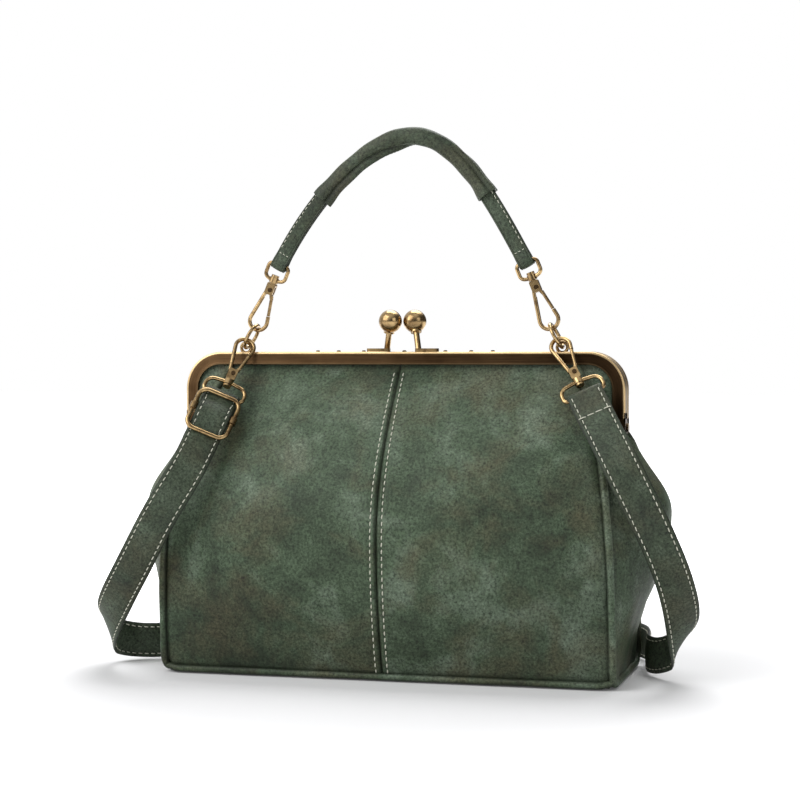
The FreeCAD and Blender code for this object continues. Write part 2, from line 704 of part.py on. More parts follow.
def handle_grip():
    """The wrapped sleeve round the middle of the handle."""
    half = size("grip_half")
    wall = size("grip_wall")
    width = size("grip_width")
    thick = size("grip_thick")
    spots = arch_spots(half, ARCH_STEPS)
    outside = Part.makeLoft([grip_section(x, width, thick) for x in spots], True, True)
    spots[0] -= wall
    spots[-1] += wall
    inside = Part.makeLoft([grip_section(x, width - 2 * wall, thick - 2 * wall) for x in spots], True, True)
    shaped("handle_grip", outside.cut(inside))


# The body

# Counts of the steps that the lofts of the body take.
PANEL_STEPS = 8
GUSSET_STEPS = 7
TAB_STEPS = 5
EDGE_STEPS = 18
BEND_STEPS = 6


def panel_half_width(z):
    """Half width of the front and back panels at a height."""
    base = size("body_width") / 2
    top = size("panel_top_width") / 2
    return base - (base - top) * (z / size("frame_top")) ** size("shoulder_power")


def mouth_height():
    """Height at which the panels bend upright into the frame."""
    return size("frame_top") - size("channel_face") - size("mouth_drop")


def profile_depth(z, bulge):
    """Half depth of the body at a height, for a given half depth at the bulge."""
    middle = size("bulge_height")
    base = size("body_depth") / 2
    mouth = abs(half_middle(-1)) + size("panel_thick") / 2
    if z < middle:
        return bulge - (bulge - base) * ((middle - z) / middle) ** 2
    share = min(1.0, (z - middle) / (mouth_height() - middle))
    return mouth + (bulge - mouth) * math.cos(math.pi / 2 * share)


def centre_depth(z):
    """Half depth of the body at its middle."""
    return profile_depth(z, size("bulge_depth") / 2)


def edge_depth(z):
    """Half depth of the body at its piping."""
    return profile_depth(z, size("bulge_edge_depth") / 2)


def piping_room(line, z):
    """Half width that the slanting piping takes at a height, with the gap beside it."""
    step = 0.1
    slope = (line(z + step) - line(z - step)) / (2 * step)
    return size("piping_dia") / 2 * math.sqrt(1 + slope ** 2) + 3 * size("seam_gap")


def lowest_level():
    """Height of the lower edge of the panels and gussets, just above the bottom piping."""
    return size("piping_lift") + size("piping_dia") / 2 + size("seam_gap")


def panel_levels():
    """Heights of the sections that a panel is lofted through."""
    low = lowest_level()
    high = mouth_height()
    return [low + (high - low) * k / PANEL_STEPS for k in range(PANEL_STEPS + 1)]


def panel_section(z, side, hand, inset, thick):
    """The section of one half of a panel: a gently bowed strip from the centre seam to the piping."""
    start = hand * size("seam_gap") / 2
    end = hand * (panel_half_width(z) - piping_room(panel_half_width, z))
    deep = centre_depth(z) - inset
    shallow = edge_depth(z) - inset

    def at(x, depth):
        return Vector(x, side * depth, z)

    middle = (3 * deep + shallow) / 4
    half = (start + end) / 2
    return Part.Wire([
        arc_edge(at(start, deep), at(half, middle), at(end, shallow)),
        Part.LineSegment(at(end, shallow), at(end, shallow - thick)).toShape(),
        arc_edge(at(end, shallow - thick), at(half, middle - thick), at(start, deep - thick)),
        Part.LineSegment(at(start, deep - thick), at(start, deep)).toShape(),
    ])


def panel_half(side, hand):
    """One half of a panel: a lower part, and the part above the fold, which turns with the frame."""
    thick = size("panel_thick")
    bowed = Part.makeLoft([panel_section(z, side, hand, 0.0, thick) for z in panel_levels()], True, False)
    ends = (mouth_height(), size("frame_top") - 2 * size("channel_wall"))
    upright = Part.makeLoft([panel_section(z, side, hand, 0.0, thick) for z in ends], True, True)
    whole = bowed.fuse(upright)
    fold = size("hinge_height")
    wide = size("ear_width")
    gap = size("seam_gap")
    below = Part.makeBox(wide, wide, fold - gap / 2, Vector(-wide / 2, -wide / 2, 0))
    above = Part.makeBox(wide, wide, wide, Vector(-wide / 2, -wide / 2, fold + gap / 2))
    name = ("front" if side < 0 else "back") + "_panel_" + ("left" if hand < 0 else "right")
    shaped(name, whole.common(below))
    shaped(name + "_top", whole.common(above))


def gusset_reach(z):
    """Half width across the gussets, in the middle of their depth."""
    base = panel_half_width(0)
    ear = size("ear_width") / 2
    tip = size("ear_height")
    if z < tip:
        return base + (ear - base) * (1 - math.cos(math.pi * z / tip)) / 2
    share = min(1.0, (z - tip) / (size("hinge_height") - tip))
    pin_head = size("frame_width") / 2 + size("lug_play") + size("channel_wall")
    upper = pin_head + size("gusset_clear") + size("gusset_thick")
    return ear - (ear - upper) * (1 - math.cos(math.pi * share)) / 2


def corner_start():
    """Height at which the piping's round corner at the base starts."""
    return size("piping_lift") + size("piping_corner")


def inner_corner():
    """Radius of a gusset's corner, inside the piping's."""
    return size("piping_corner") - size("piping_dia") / 2 - 3 * size("seam_gap")


def gusset_side(z):
    """Half depth of a gusset's edge at a height, clear of the piping round it."""
    drop = corner_start() - z
    if drop <= 0:
        return edge_depth(z) - piping_room(edge_depth, z)
    centre = edge_depth(corner_start()) - size("piping_corner")
    return centre + math.sqrt(max(0.0, inner_corner() ** 2 - drop ** 2))


def gusset_section(z, hand, inset, thick):
    """The section of a gusset: a strip from piping to piping that bows outward."""
    root = panel_half_width(z) - inset
    deep = gusset_side(z)
    reach = max(gusset_reach(z) - inset, root + size("seam_gap"))

    def at(x, y):
        return Vector(hand * x, y, z)

    return Part.Wire([
        arc_edge(at(root, -deep), at(reach, 0), at(root, deep)),
        Part.LineSegment(at(root, deep), at(root - thick, deep)).toShape(),
        arc_edge(at(root - thick, deep), at(reach - thick, 0), at(root - thick, -deep)),
        Part.LineSegment(at(root - thick, -deep), at(root, -deep)).toShape(),
    ])


def gusset_levels():
    """Heights of the sections below the hinges."""
    start = corner_start()
    high = size("hinge_height") - size("lug_radius")
    upper = [start + (high - start) * k / GUSSET_STEPS for k in range(GUSSET_STEPS + 1)]
    lower = [start - inner_corner() * math.cos(math.pi / 6 * k) for k in range(3)]
    return lower + upper


def arm_line(z, band):
    """Half width of the frame's arm at a height, a given band inside its outer edge."""
    corner = size("frame_corner")
    rise = max(0.0, z - (size("frame_top") - corner))
    centre = size("frame_width") / 2 - corner
    return centre + math.sqrt(max(0.0, (corner - band) ** 2 - rise ** 2))


def tab_section(z, side, hand):
    """The section of a gusset's upper tab, from the piping into the arm of one frame half."""
    root = panel_half_width(z) + piping_room(panel_half_width, z)
    deep = edge_depth(z)
    entry = arm_line(z, size("channel_face")) - size("mouth_drop")
    end = (arm_line(z, size("channel_face")) + arm_line(z, 0.0)) / 2
    mouth = abs(half_middle(side)) + size("gusset_thick") / 2
    thick = size("gusset_thick")
    corners = [(root, deep), (entry, mouth), (end, mouth),
               (end, mouth - thick), (entry, mouth - thick), (root, deep - thick)]
    return polygon_wire([Vector(hand * x, side * y, z) for x, y in corners])


def gusset(hand, name):
    """A gusset: its bowed lower part and the two tabs that run up into the frame's arms."""
    lower = Part.makeLoft([gusset_section(z, hand, 0.0, size("gusset_thick")) for z in gusset_levels()],
                          True, False)
    low = gusset_levels()[-1] - size("piping_dia")
    high = size("frame_top") - size("frame_corner") / 2
    levels = [low + (high - low) * k / TAB_STEPS for k in range(TAB_STEPS + 1)]
    tabs = [Part.makeLoft([tab_section(z, side, hand) for z in levels], True, True) for side in (-1, 1)]
    shaped(name, lower.multiFuse(tabs))


def piping_route(hand):
    """The line of a gusset's piping: down the front edge, along the base and up the back edge."""
    low = size("piping_lift")
    corner = size("piping_corner")
    top = size("frame_top") - size("channel_face") - size("piping_dia") / 2
    heights = [top + (low + corner - top) * k / EDGE_STEPS for k in range(EDGE_STEPS + 1)]
    front = [Vector(hand * panel_half_width(z), -edge_depth(z), z) for z in heights]
    depth = edge_depth(low + corner)
    bend = []
    for k in range(1, BEND_STEPS + 1):
        angle = math.pi / 2 * k / BEND_STEPS
        bend.append(Vector(hand * panel_half_width(low), -depth + corner * (1 - math.cos(angle)),
                           low + corner * (1 - math.sin(angle))))
    half = front + bend
    return half + [Vector(p.x, -p.y, p.z) for p in reversed(half)]


def tube_along(route, diameter):
    """A round tube through the points of a route."""
    sections = []
    for index, point in enumerate(route):
        before = route[max(0, index - 1)]
        after = route[min(len(route) - 1, index + 1)]
        sections.append(circle_wire(point, (after - before).normalize(), diameter / 2))
    return Part.makeLoft(sections, True, True)


def bottom_piping(side, name):
    """The straight piping along the front or back edge of the base."""
    tube = DOC.addObject("Part::Cylinder", name + "_cord")
    bind(tube, "Radius", "Sizes.piping_dia / 2")
    bind(tube, "Height", "Sizes.body_width - 2 * (Sizes.piping_dia + Sizes.seam_gap)")
    tube.Placement = Placement(Vector(), FreeCAD.Rotation(Vector(0, 1, 0), 90))
    bind(tube, "Placement.Base.x", "-Sizes.body_width / 2 + Sizes.piping_dia + Sizes.seam_gap")
    bind(tube, "Placement.Base.y", f"{side} * Sizes.body_depth / 2")
    bind(tube, "Placement.Base.z", "Sizes.piping_lift")
    piece(tube, name)


def plate_body(name, length_formula, width_formula, thick_formula, base_formula):
    """A flat plate centred under the bag."""
    body = DOC.addObject("PartDesign::Body", name + "_plate")
    sketch = body.newObject("Sketcher::SketchObject", name + "_outline")
    plane = [p for p in body.Origin.OriginFeatures if p.Role == "XY_Plane"][0]
    sketch.AttachmentSupport = [(plane, "")]
    sketch.MapMode = "FlatFace"
    bind(sketch, "AttachmentOffset.Base.z", base_formula)
    corners = [Vector(-10, -5, 0), Vector(10, -5, 0), Vector(10, 5, 0), Vector(-10, 5, 0)]
    for k in range(4):
        sketch.addGeometry(Part.LineSegment(corners[k], corners[(k + 1) % 4]))
    for k in range(4):
        sketch.addConstraint(Sketcher.Constraint("Coincident", k, 2, (k + 1) % 4, 1))
    for k in (0, 2):
        sketch.addConstraint(Sketcher.Constraint("Horizontal", k))
    for k in (1, 3):
        sketch.addConstraint(Sketcher.Constraint("Vertical", k))
    sketch.addConstraint(Sketcher.Constraint("Symmetric", 0, 1, 2, 1, -1, 1))
    index = sketch.addConstraint(Sketcher.Constraint("DistanceX", 0, 1, 0, 2, 20))
    bind(sketch, f"Constraints[{index}]", length_formula)
    index = sketch.addConstraint(Sketcher.Constraint("DistanceY", 1, 1, 1, 2, 10))
    bind(sketch, f"Constraints[{index}]", width_formula)
    pad = body.newObject("PartDesign::Pad", name + "_pad")
    pad.Profile = sketch
    bind(pad, "Length", thick_formula)
    piece(body, name)


def base_plates():
    """The bottom panel and the stiff board above it."""
    edge = "(Sizes.piping_dia + 2 * Sizes.seam_gap)"
    length = f"Sizes.body_width - {edge}"
    width = f"Sizes.body_depth - {edge}"
    plate_body("bottom_panel", length, width, "Sizes.base_thick", "0")
    inset = "2 * Sizes.board_inset"
    plate_body("base_board", f"{length} - {inset}", f"{width} - {inset}",
               "Sizes.board_thick", "Sizes.base_thick")


def lining():
    """The fabric lining: thin sheets just inside the panels and the gussets."""
    gap = size("lining_gap")
    thin = size("lining_thick")
    sheets = []
    inset = size("panel_thick") + gap
    levels = [z for z in panel_levels() if z < size("hinge_height") - size("channel_face")]
    for side in (-1, 1):
        for hand in (-1, 1):
            sections = [panel_section(z, side, hand, inset, thin) for z in levels]
            sheets.append(Part.makeLoft(sections, True, False))
    inset = size("gusset_thick") + gap
    for hand in (-1, 1):
        sections = [gusset_section(z, hand, inset, thin) for z in gusset_levels()[2:-1]]
        sheets.append(Part.makeLoft(sections, True, False))
    shaped("lining", Part.makeCompound(sheets))


# The shoulder strap

# Places of the route's points on the straight stretch below each loop.
LEFT_STRAIGHT = (0.0, 24.0, 50.0)
RIGHT_STRAIGHT = (0.0, 26.0, 52.0)

# The body's width across the ears and its depth at the bulge that the route below was laid out for.
ROUTE_WIDTH = 304.0
ROUTE_DEPTH = 115.0

# Points of the strap's route on the floor and beside the bag, left end to right end, with the way
# that the strap's width points at each.
ROUTE = [
    (-120.0, -70.0, 91.0, 0.85, 0.10, -0.52),
    (-136.0, -67.0, 63.0, 0.78, 0.25, -0.57),
    (-152.0, -55.0, 42.0, 0.65, 0.32, -0.69),
    (-165.0, -38.0, 26.0, 0.40, 0.25, -0.88),
    (-169.0, -18.0, 15.0, 0.12, 0.10, -0.99),
    (-162.0, -6.0, 11.2, 0.0, 0.0, -1.0),
    (-148.0, -2.0, 10.8, 0.0, 0.0, -1.0),
    (-138.0, 10.0, 10.8, 0.0, 0.0, -1.0),
    (-135.5, 34.0, 10.8, 0.0, 0.0, -1.0),
    (-130.0, 56.0, 10.8, 0.0, 0.0, -1.0),
    (-106.0, 64.0, 10.8, 0.0, 0.0, -1.0),
    (-62.0, 62.0, 10.8, 0.0, 0.0, -1.0),
    (-14.0, 65.0, 10.8, 0.0, 0.0, -1.0),
    (34.0, 62.0, 10.8, 0.0, 0.0, -1.0),
    (76.0, 64.0, 10.8, 0.0, 0.0, -1.0),
    (104.0, 62.0, 10.8, 0.0, 0.0, -1.0),
    (122.0, 72.0, 10.8, 0.0, 0.0, -1.0),
    (120.0, 92.0, 10.8, 0.0, 0.0, -1.0),
    (100.0, 98.0, 10.8, 0.0, 0.0, -1.0),
    (66.0, 93.0, 10.8, 0.0, 0.0, -1.0),
    (22.0, 96.0, 10.8, 0.0, 0.0, -1.0),
    (-26.0, 93.0, 10.8, 0.0, 0.0, -1.0),
    (-70.0, 96.0, 10.8, 0.0, 0.0, -1.0),
    (-102.0, 94.0, 10.8, 0.0, 0.0, -1.0),
    (-120.0, 104.0, 10.8, 0.0, 0.0, -1.0),
    (-118.0, 124.0, 10.8, 0.0, 0.0, -1.0),
    (-98.0, 130.0, 10.8, 0.0, 0.0, -1.0),
    (-64.0, 126.0, 10.8, 0.0, 0.0, -1.0),
    (-18.0, 129.0, 10.8, 0.0, 0.0, -1.0),
    (30.0, 126.0, 10.8, 0.0, 0.0, -1.0),
    (72.0, 128.0, 10.8, 0.0, 0.0, -1.0),
    (102.0, 120.0, 10.8, 0.0, 0.0, -1.0),
    (113.0, 98.0, 10.8, 0.0, 0.0, -1.0),
    (120.0, 77.0, 10.8, 0.0, 0.0, -1.0),
    (131.0, 60.0, 10.8, 0.0, 0.0, -1.0),
    (135.0, 40.0, 10.8, 0.0, 0.0, -1.0),
    (136.0, 18.0, 11.0, -0.05, 0.0, -1.0),
    (145.0, 5.0, 11.5, -0.25, 0.05, -0.97),
    (157.0, -4.0, 18.0, -0.50, 0.12, -0.86),
    (162.0, -22.0, 34.0, -0.62, 0.22, -0.75),
    (160.0, -40.0, 57.0, -0.70, 0.22, -0.68),
    (151.5, -52.0, 83.0, -0.76, 0.10, -0.64),
]


def strap_start(hand, along):
    """A point on the front of a strap's fold, a given way down from the loop's bar."""
    offset = (size("loop_wire") + size("strap_thick")) / 2 + size("fold_play")
    return strap_hook_place(hand).multVec(Vector(0, offset, size("loop_bar") + along))


def strap_route():
    """The whole route of the strap: points, and the way that its width points at each."""
    left_wide = strap_hook_place(-1).Rotation.multVec(Vector(1, 0, 0))
    right_wide = strap_hook_place(1).Rotation.multVec(Vector(-1, 0, 0))
    wider = size("ear_width") / ROUTE_WIDTH
    deeper = size("bulge_depth") / ROUTE_DEPTH
    route = [(strap_start(-1, along), left_wide) for along in LEFT_STRAIGHT]
    for x, y, z, wide_x, wide_y, wide_z in ROUTE:
        route.append((Vector(wider * x, deeper * y, z), Vector(wide_x, wide_y, wide_z)))
    route += [(strap_start(1, along), right_wide) for along in reversed(RIGHT_STRAIGHT)]
    return route


def smooth_value(values, place):
    """A point of the quadratic curve that has the values as its control points."""
    spans = len(values) - 2
    index = min(int(place), spans - 1)
    share = place - index
    first, second, third = values[index:index + 3]
    start = first if index == 0 else (first + second) * 0.5
    end = third if index == spans - 1 else (second + third) * 0.5
    return start * (1 - share) ** 2 + second * (2 * share * (1 - share)) + end * share ** 2


def strap_section(points, wides, place):
    """A flat section of the strap at a place along its route."""
    step = 0.01
    spans = len(points) - 2
    here = smooth_value(points, place)
    ahead = smooth_value(points, min(place + step, spans))
    behind = smooth_value(points, max(place - step, 0.0))
    along = (ahead - behind).normalize()
    wide = smooth_value(wides, place)
    wide = (wide - along * wide.dot(along)).normalize()
    deep = along.cross(wide) * (size("strap_thick") / 2)
    wide = wide * (size("strap_width") / 2)
    return polygon_wire([here - wide - deep, here + wide - deep, here + wide + deep, here - wide + deep])


# Steps per span of the route in which the strap's length is measured.
LENGTH_STEPS = 20


def shoulder_strap():
    """The long strap, from the left loop over the floor behind the bag to the right loop."""
    route = strap_route()
    points = [point for point, wide in route]
    wides = [wide for point, wide in route]
    spans = len(points) - 2
    sections = [strap_section(points, wides, k / 2) for k in range(2 * spans + 1)]
    steps = [Part.makeLoft(list(pair), True, True) for pair in zip(sections, sections[1:])]
    strap = steps[0].multiFuse(steps[1:])
    marks = [smooth_value(points, k / LENGTH_STEPS) for k in range(LENGTH_STEPS * spans + 1)]
    length = sum((end - start).Length for start, end in zip(marks, marks[1:]))
    plain = length * size("strap_width") * size("strap_thick")
    print(f"shoulder strap: length {length:.0f} mm, volume {strap.Volume:.0f}, plain volume {plain:.0f}")
    shaped("shoulder_strap", strap)


def strap_end(hand, name):
    """A folded end of the strap: round the loop's bar and down behind the strap."""
    inner = size("loop_wire") / 2 + size("fold_play")
    thick = size("strap_thick")
    width = size("strap_width")
    bar = Vector(-width / 2, 0, size("loop_bar"))
    across = Vector(1, 0, 0)
    bore = Part.makeCylinder(inner, width, bar, across)
    tube = Part.makeCylinder(inner + thick, width, bar, across).cut(bore)
    room = 4 * width
    lower = Part.makeBox(room, room, room, Vector(-room / 2, -room / 2, size("loop_bar")))
    wrap = tube.cut(lower)
    corner = Vector(-width / 2, -inner - thick, size("loop_bar"))
    length = size("fold_length") if hand > 0 else size("slider_fold")
    back = Part.makeBox(width, thick, length, corner)
    shaped(name, clean(wrap.fuse(back)), strap_hook_place(hand))


def slider_frame():
    """The slider's rounded wire frame, in front of the strap."""
    half = size("strap_width") / 2 + size("slider_side_gap") + size("slider_wire") / 2
    middle = size("loop_bar") + size("slider_place")
    reach = (size("slider_length") - size("slider_wire")) / 2
    front = slider_level(1)
    points = [Vector(half * x, front, middle + reach * z) for x, z in ((-1, -1), (1, -1), (1, 1), (-1, 1))]
    path = rounded_path(points, [2 * size("slider_wire")] * len(points), True)
    shaped("slider_frame", wire_form(path, size("slider_wire")), strap_hook_place(-1))


def slider_level(side):
    """Distance of the slider's wires from the loop's plane: in front of the strap, or behind it."""
    strap = (size("loop_wire") + size("strap_thick")) / 2 + size("fold_play")
    wire = size("slider_wire") if side > 0 else size("slider_bar_dia")
    return strap + side * ((size("strap_thick") + wire) / 2 + size("slider_play"))


def slider_bar():
    """The slider's centre bar: it passes behind the strap and hangs on a collar round each rail."""
    half = size("strap_width") / 2 + size("slider_side_gap") + size("slider_wire") / 2
    middle = size("loop_bar") + size("slider_place")
    front = slider_level(1)
    behind = slider_level(-1)
    bar = size("slider_bar_dia")
    wire = size("slider_wire")
    reach = Vector(0, 0, size("slider_collar") / 2)
    parts = [rod(Vector(-half, behind, middle), Vector(half, behind, middle), bar)]
    holes = []
    for hand in (-1, 1):
        rail = Vector(hand * half, front, middle)
        parts.append(rod(Vector(hand * half, behind, middle), rail, size("slider_link_dia")))
        parts.append(rod(rail - reach, rail + reach, wire + 2 * size("slider_collar_wall")))
        parts.append(Part.makeSphere(bar / 2, Vector(hand * half, behind, middle)))
        holes.append(rod(rail - reach * 2, rail + reach * 2, wire + 2 * size("pin_play")))
    solid = parts[0].multiFuse(parts[1:])
    for hole in holes:
        solid = solid.cut(hole)
    shaped("slider_bar", clean(solid), strap_hook_place(-1))


def build():
    """Make every sub-part."""
    for side in (-1, 1):
        frame_half(side)
        kiss_lock(side)
    hinge_pins()
    back_rivets()
    for hand, name in ((-1, "left"), (1, "right")):
        eyelet(hand, name)
        link_ring(hand, name)
        snap_hook(name + "_handle", handle_hook_place(hand), "handle_loop")
        snap_hook(name + "_strap", strap_hook_place(hand), "strap_loop")
        strap_end(hand, name + "_strap_end")
        gusset(hand, name + "_gusset")
        shaped(name + "_piping", tube_along(piping_route(hand), size("piping_dia")))
        panel_half(-1, hand)
        panel_half(1, hand)
    handle_strap()
    handle_grip()
    bottom_piping(-1, "front_bottom_piping")
    bottom_piping(1, "back_bottom_piping")
    base_plates()
    lining()
    shoulder_strap()
    slider_frame()
    slider_bar()
    DOC.recompute()


def write_parts():
    """Check every object, then write each sub-part to its file."""
    for thing in DOC.Objects:
        if "Invalid" in thing.State or "Error" in thing.State:
            raise RuntimeError(f"{thing.Label} failed: {thing.State}")
    for thing in PIECES:
        if thing.Shape.isNull() or not thing.Shape.isValid():
            raise RuntimeError(f"{thing.Label} has no valid shape")
    os.makedirs("parts", exist_ok=True)
    for thing in PIECES:
        thing.Shape.exportStep(f"parts/{thing.Label}.step")
        print(f"{thing.Label}: {len(thing.Shape.Solids)} solids, volume {thing.Shape.Volume:.1f}")


build()
write_parts()
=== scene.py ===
"""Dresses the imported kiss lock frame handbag: leather, thread, brass and a plain studio.

All lengths are in metres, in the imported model's own frame: +Z is up and -Y is the bag's front.
"""

import logging
import math
from dataclasses import dataclass, field
from enum import Enum
from typing import Any, Optional, Sequence, Union

import bmesh
import bpy
import numpy as np
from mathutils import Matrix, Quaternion, Vector

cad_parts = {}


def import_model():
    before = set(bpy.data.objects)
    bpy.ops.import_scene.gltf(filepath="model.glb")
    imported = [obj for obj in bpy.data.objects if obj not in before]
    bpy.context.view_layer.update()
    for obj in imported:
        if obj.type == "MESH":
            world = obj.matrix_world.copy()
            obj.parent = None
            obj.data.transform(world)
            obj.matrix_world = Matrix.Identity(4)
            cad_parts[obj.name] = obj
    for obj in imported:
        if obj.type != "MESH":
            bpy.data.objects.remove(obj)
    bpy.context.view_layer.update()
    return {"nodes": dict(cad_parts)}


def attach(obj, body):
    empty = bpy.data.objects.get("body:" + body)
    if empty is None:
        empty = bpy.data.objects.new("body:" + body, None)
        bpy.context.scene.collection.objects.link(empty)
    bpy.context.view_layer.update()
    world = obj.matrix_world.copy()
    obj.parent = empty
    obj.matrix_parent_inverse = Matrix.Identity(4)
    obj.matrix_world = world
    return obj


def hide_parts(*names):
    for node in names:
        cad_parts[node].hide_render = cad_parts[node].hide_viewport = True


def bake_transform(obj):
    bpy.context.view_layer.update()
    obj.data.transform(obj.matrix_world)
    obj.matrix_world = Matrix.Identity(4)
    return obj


LOG = logging.getLogger("handbag")

Colour = tuple[float, float, float]
Point = tuple[float, float, float]
Range = tuple[float, float]
Socket = bpy.types.NodeSocket

# Most values of a noise texture lie in this range.
NOISE_SPAN: Range = (0.3, 0.7)
# Edges that turn more than this stay sharp.
SHARP_ANGLE = math.radians(48)


class Side(Enum):
    """The front or the back of the bag, as the sign of its depth."""

    FRONT = -1
    BACK = 1

    @property
    def word(self) -> str:
        """The side's name in piece names."""
        return self.name.lower()

    @property
    def frame_body(self) -> str:
        """The body of the frame half on this side."""
        return f"{self.word}_frame"


class Hand(Enum):
    """The left or the right of the bag, as the sign of its width."""

    LEFT = -1
    RIGHT = 1

    @property
    def word(self) -> str:
        """The hand's name in piece names."""
        return self.name.lower()


class Slot(Enum):
    """The record's material slots."""

    LEATHER = "leather"
    FRAME = "frame_brass"
    LINING = "lining_fabric"


def unit(vectors: np.ndarray) -> np.ndarray:
    """Vectors scaled to length one."""
    return vectors / np.maximum(np.linalg.norm(vectors, axis=-1, keepdims=True), 1e-12)


def ease(value: np.ndarray, low: float, high: float) -> np.ndarray:
    """A smooth step from 0 at low to 1 at high."""
    share = np.clip((value - low) / (high - low), 0.0, 1.0)
    return share * share * (3.0 - 2.0 * share)


def fall(value: np.ndarray, low: float, high: float) -> np.ndarray:
    """A smooth step from 1 at low to 0 at high."""
    return 1 - ease(value, low, high)


def hump(value: np.ndarray, centre: float, width: float) -> np.ndarray:
    """A bell curve of height 1 at the centre."""
    return np.exp(-(((value - centre) / width) ** 2))


@dataclass(frozen=True)
class Ridge:
    """A ridge, or a groove where its height is negative, with its middle and its width."""

    height: float
    centre: float
    width: float

    def at(self, value: np.ndarray) -> np.ndarray:
        """How far it stands out at each place."""
        return self.height * hump(value, self.centre, self.width)


@dataclass(frozen=True)
class Dent:
    """A swelling or a hollow of a sheet, with its middle and its width across and upward."""

    height: float
    across: Range
    upward: Range

    def at(self, share: np.ndarray, z: np.ndarray) -> np.ndarray:
        """How far it stands out at each place."""
        return self.height * hump(share, *self.across) * hump(z, *self.upward)


def relief(ridges: Sequence[Ridge], value: np.ndarray) -> np.ndarray:
    """How far several ridges stand out together at each place."""
    return sum(ridge.at(value) for ridge in ridges)


def run_length(line: np.ndarray) -> np.ndarray:
    """The distance along a line at each of its points."""
    steps = np.linalg.norm(np.diff(line, axis=0), axis=1)
    return np.concatenate([[0.0], np.cumsum(steps)])


def along(line: np.ndarray) -> np.ndarray:
    """The direction of a line at each of its points."""
    return unit(np.gradient(line, axis=0))


def crosswise(line: np.ndarray, wide: np.ndarray) -> tuple[np.ndarray, np.ndarray]:
    """Directions square to a line.

    Args:
        line: Points of the line.
        wide: Roughly the first direction at each point.

    Returns:
        The first direction made square to the line, and the one square to both.
    """
    way = along(line)
    wide = unit(wide - way * (wide * way).sum(axis=1, keepdims=True))
    return wide, np.cross(way, wide)


@dataclass
class Draft:
    """Points and faces of a piece in the making, with what its finish reads from it.

    lay is where each point sits in the finish's pattern, and the wear value holds how rubbed it is together with
    painted shade and painted highlight.
    """

    points: np.ndarray
    faces: list[tuple[int, ...]]
    wear: Optional[np.ndarray] = None
    lay: Optional[np.ndarray] = None

    def piece(self, name: str, finish: "Finish", slot: Slot) -> bpy.types.Object:
        """Make the Blender object.

        Args:
            name: The piece's name.
            finish: The finish that it wears.
            slot: The record's slot that the finish belongs to; not used.

        Returns:
            The object, linked to the scene.
        """
        mesh = bpy.data.meshes.new(name)
        mesh.from_pydata(self.points.tolist(), [], self.faces)
        work = bmesh.new()
        work.from_mesh(mesh)
        bmesh.ops.recalc_face_normals(work, faces=work.faces)
        work.to_mesh(mesh)
        work.free()
        mesh.shade_smooth()
        mesh.set_sharp_from_angle(angle=SHARP_ANGLE)
        lay = self.points if self.lay is None else self.lay
        wear = np.zeros(len(self.points)) if self.wear is None else self.wear
        mesh.attributes.new("lay", "FLOAT_VECTOR", "POINT").data.foreach_set(
            "vector", lay.astype(np.float32).ravel())
        mesh.attributes.new("wear", "FLOAT", "POINT").data.foreach_set(
            "value", wear.astype(np.float32).ravel())
        mesh.materials.append(finish.material())
        thing = bpy.data.objects.new(name, mesh)
        bpy.context.scene.collection.objects.link(thing)
        LOG.info("piece %s: %d faces", name, len(self.faces))
        return thing


def joined(drafts: Sequence[Draft]) -> Draft:
    """Several drafts as one.

    Args:
        drafts: The drafts to put together.

    Returns:
        One draft with all their points and faces.
    """
    faces: list[tuple[int, ...]] = []
    start = 0
    for draft in drafts:
        faces += [tuple(start + corner for corner in face) for face in draft.faces]
        start += len(draft.points)

    def gather(name: str) -> np.ndarray:
        """One value of all the drafts' points."""
        blank = {"wear": lambda d: np.zeros(len(d.points)), "lay": lambda d: d.points}[name]
        return np.concatenate([blank(d) if getattr(d, name) is None else getattr(d, name) for d in drafts])

    return Draft(np.concatenate([d.points for d in drafts]), faces, gather("wear"), gather("lay"))


def grid_faces(rows: int, columns: int, ring: bool = False) -> list[tuple[int, ...]]:
    """Faces between the points of a grid.

    Args:
        rows: Number of rows.
        columns: Number of points in a row.
        ring: Whether each row closes on itself.

    Returns:
        Four corners for each face.
    """
    first = np.arange(rows - 1)[:, None] * columns
    here = np.arange(columns if ring else columns - 1)[None, :]
    after = (here + 1) % columns
    corners = np.stack([first + here, first + after, first + columns + after, first + columns + here], axis=-1)
    return [tuple(face) for face in corners.reshape(-1, 4).tolist()]


def sheet(outer: np.ndarray, thick: float, outward: Point, wear: Optional[np.ndarray] = None) -> Draft:
    """A closed sheet with a given outer side.

    Args:
        outer: Rows and columns of points on the outer side.
        thick: Thickness of the sheet.
        outward: Roughly the way that the outer side faces.
        wear: Wear, painted shade and painted highlight of each outer point.

    Returns:
        The sheet with its inner side and rim.
    """
    rows, columns = outer.shape[:2]
    normal = unit(np.cross(np.gradient(outer, axis=1), np.gradient(outer, axis=0)))
    if (normal.reshape(-1, 3) @ np.array(outward)).mean() < 0:
        normal = -normal
    inner = outer - normal * thick
    count = rows * columns
    faces = grid_faces(rows, columns)
    faces += [tuple(count + corner for corner in reversed(face)) for face in grid_faces(rows, columns)]
    index = np.arange(count).reshape(rows, columns)
    rim = np.concatenate([index[0, :-1], index[:-1, -1], index[-1, :0:-1], index[:0:-1, 0]]).tolist()
    faces += [(b, a, count + a, count + b) for a, b in zip(rim, rim[1:] + rim[:1])]
    points = np.concatenate([outer.reshape(-1, 3), inner.reshape(-1, 3)])
    marks = None if wear is None else np.concatenate([wear.ravel(), wear.ravel()])
    return Draft(points, faces, marks)


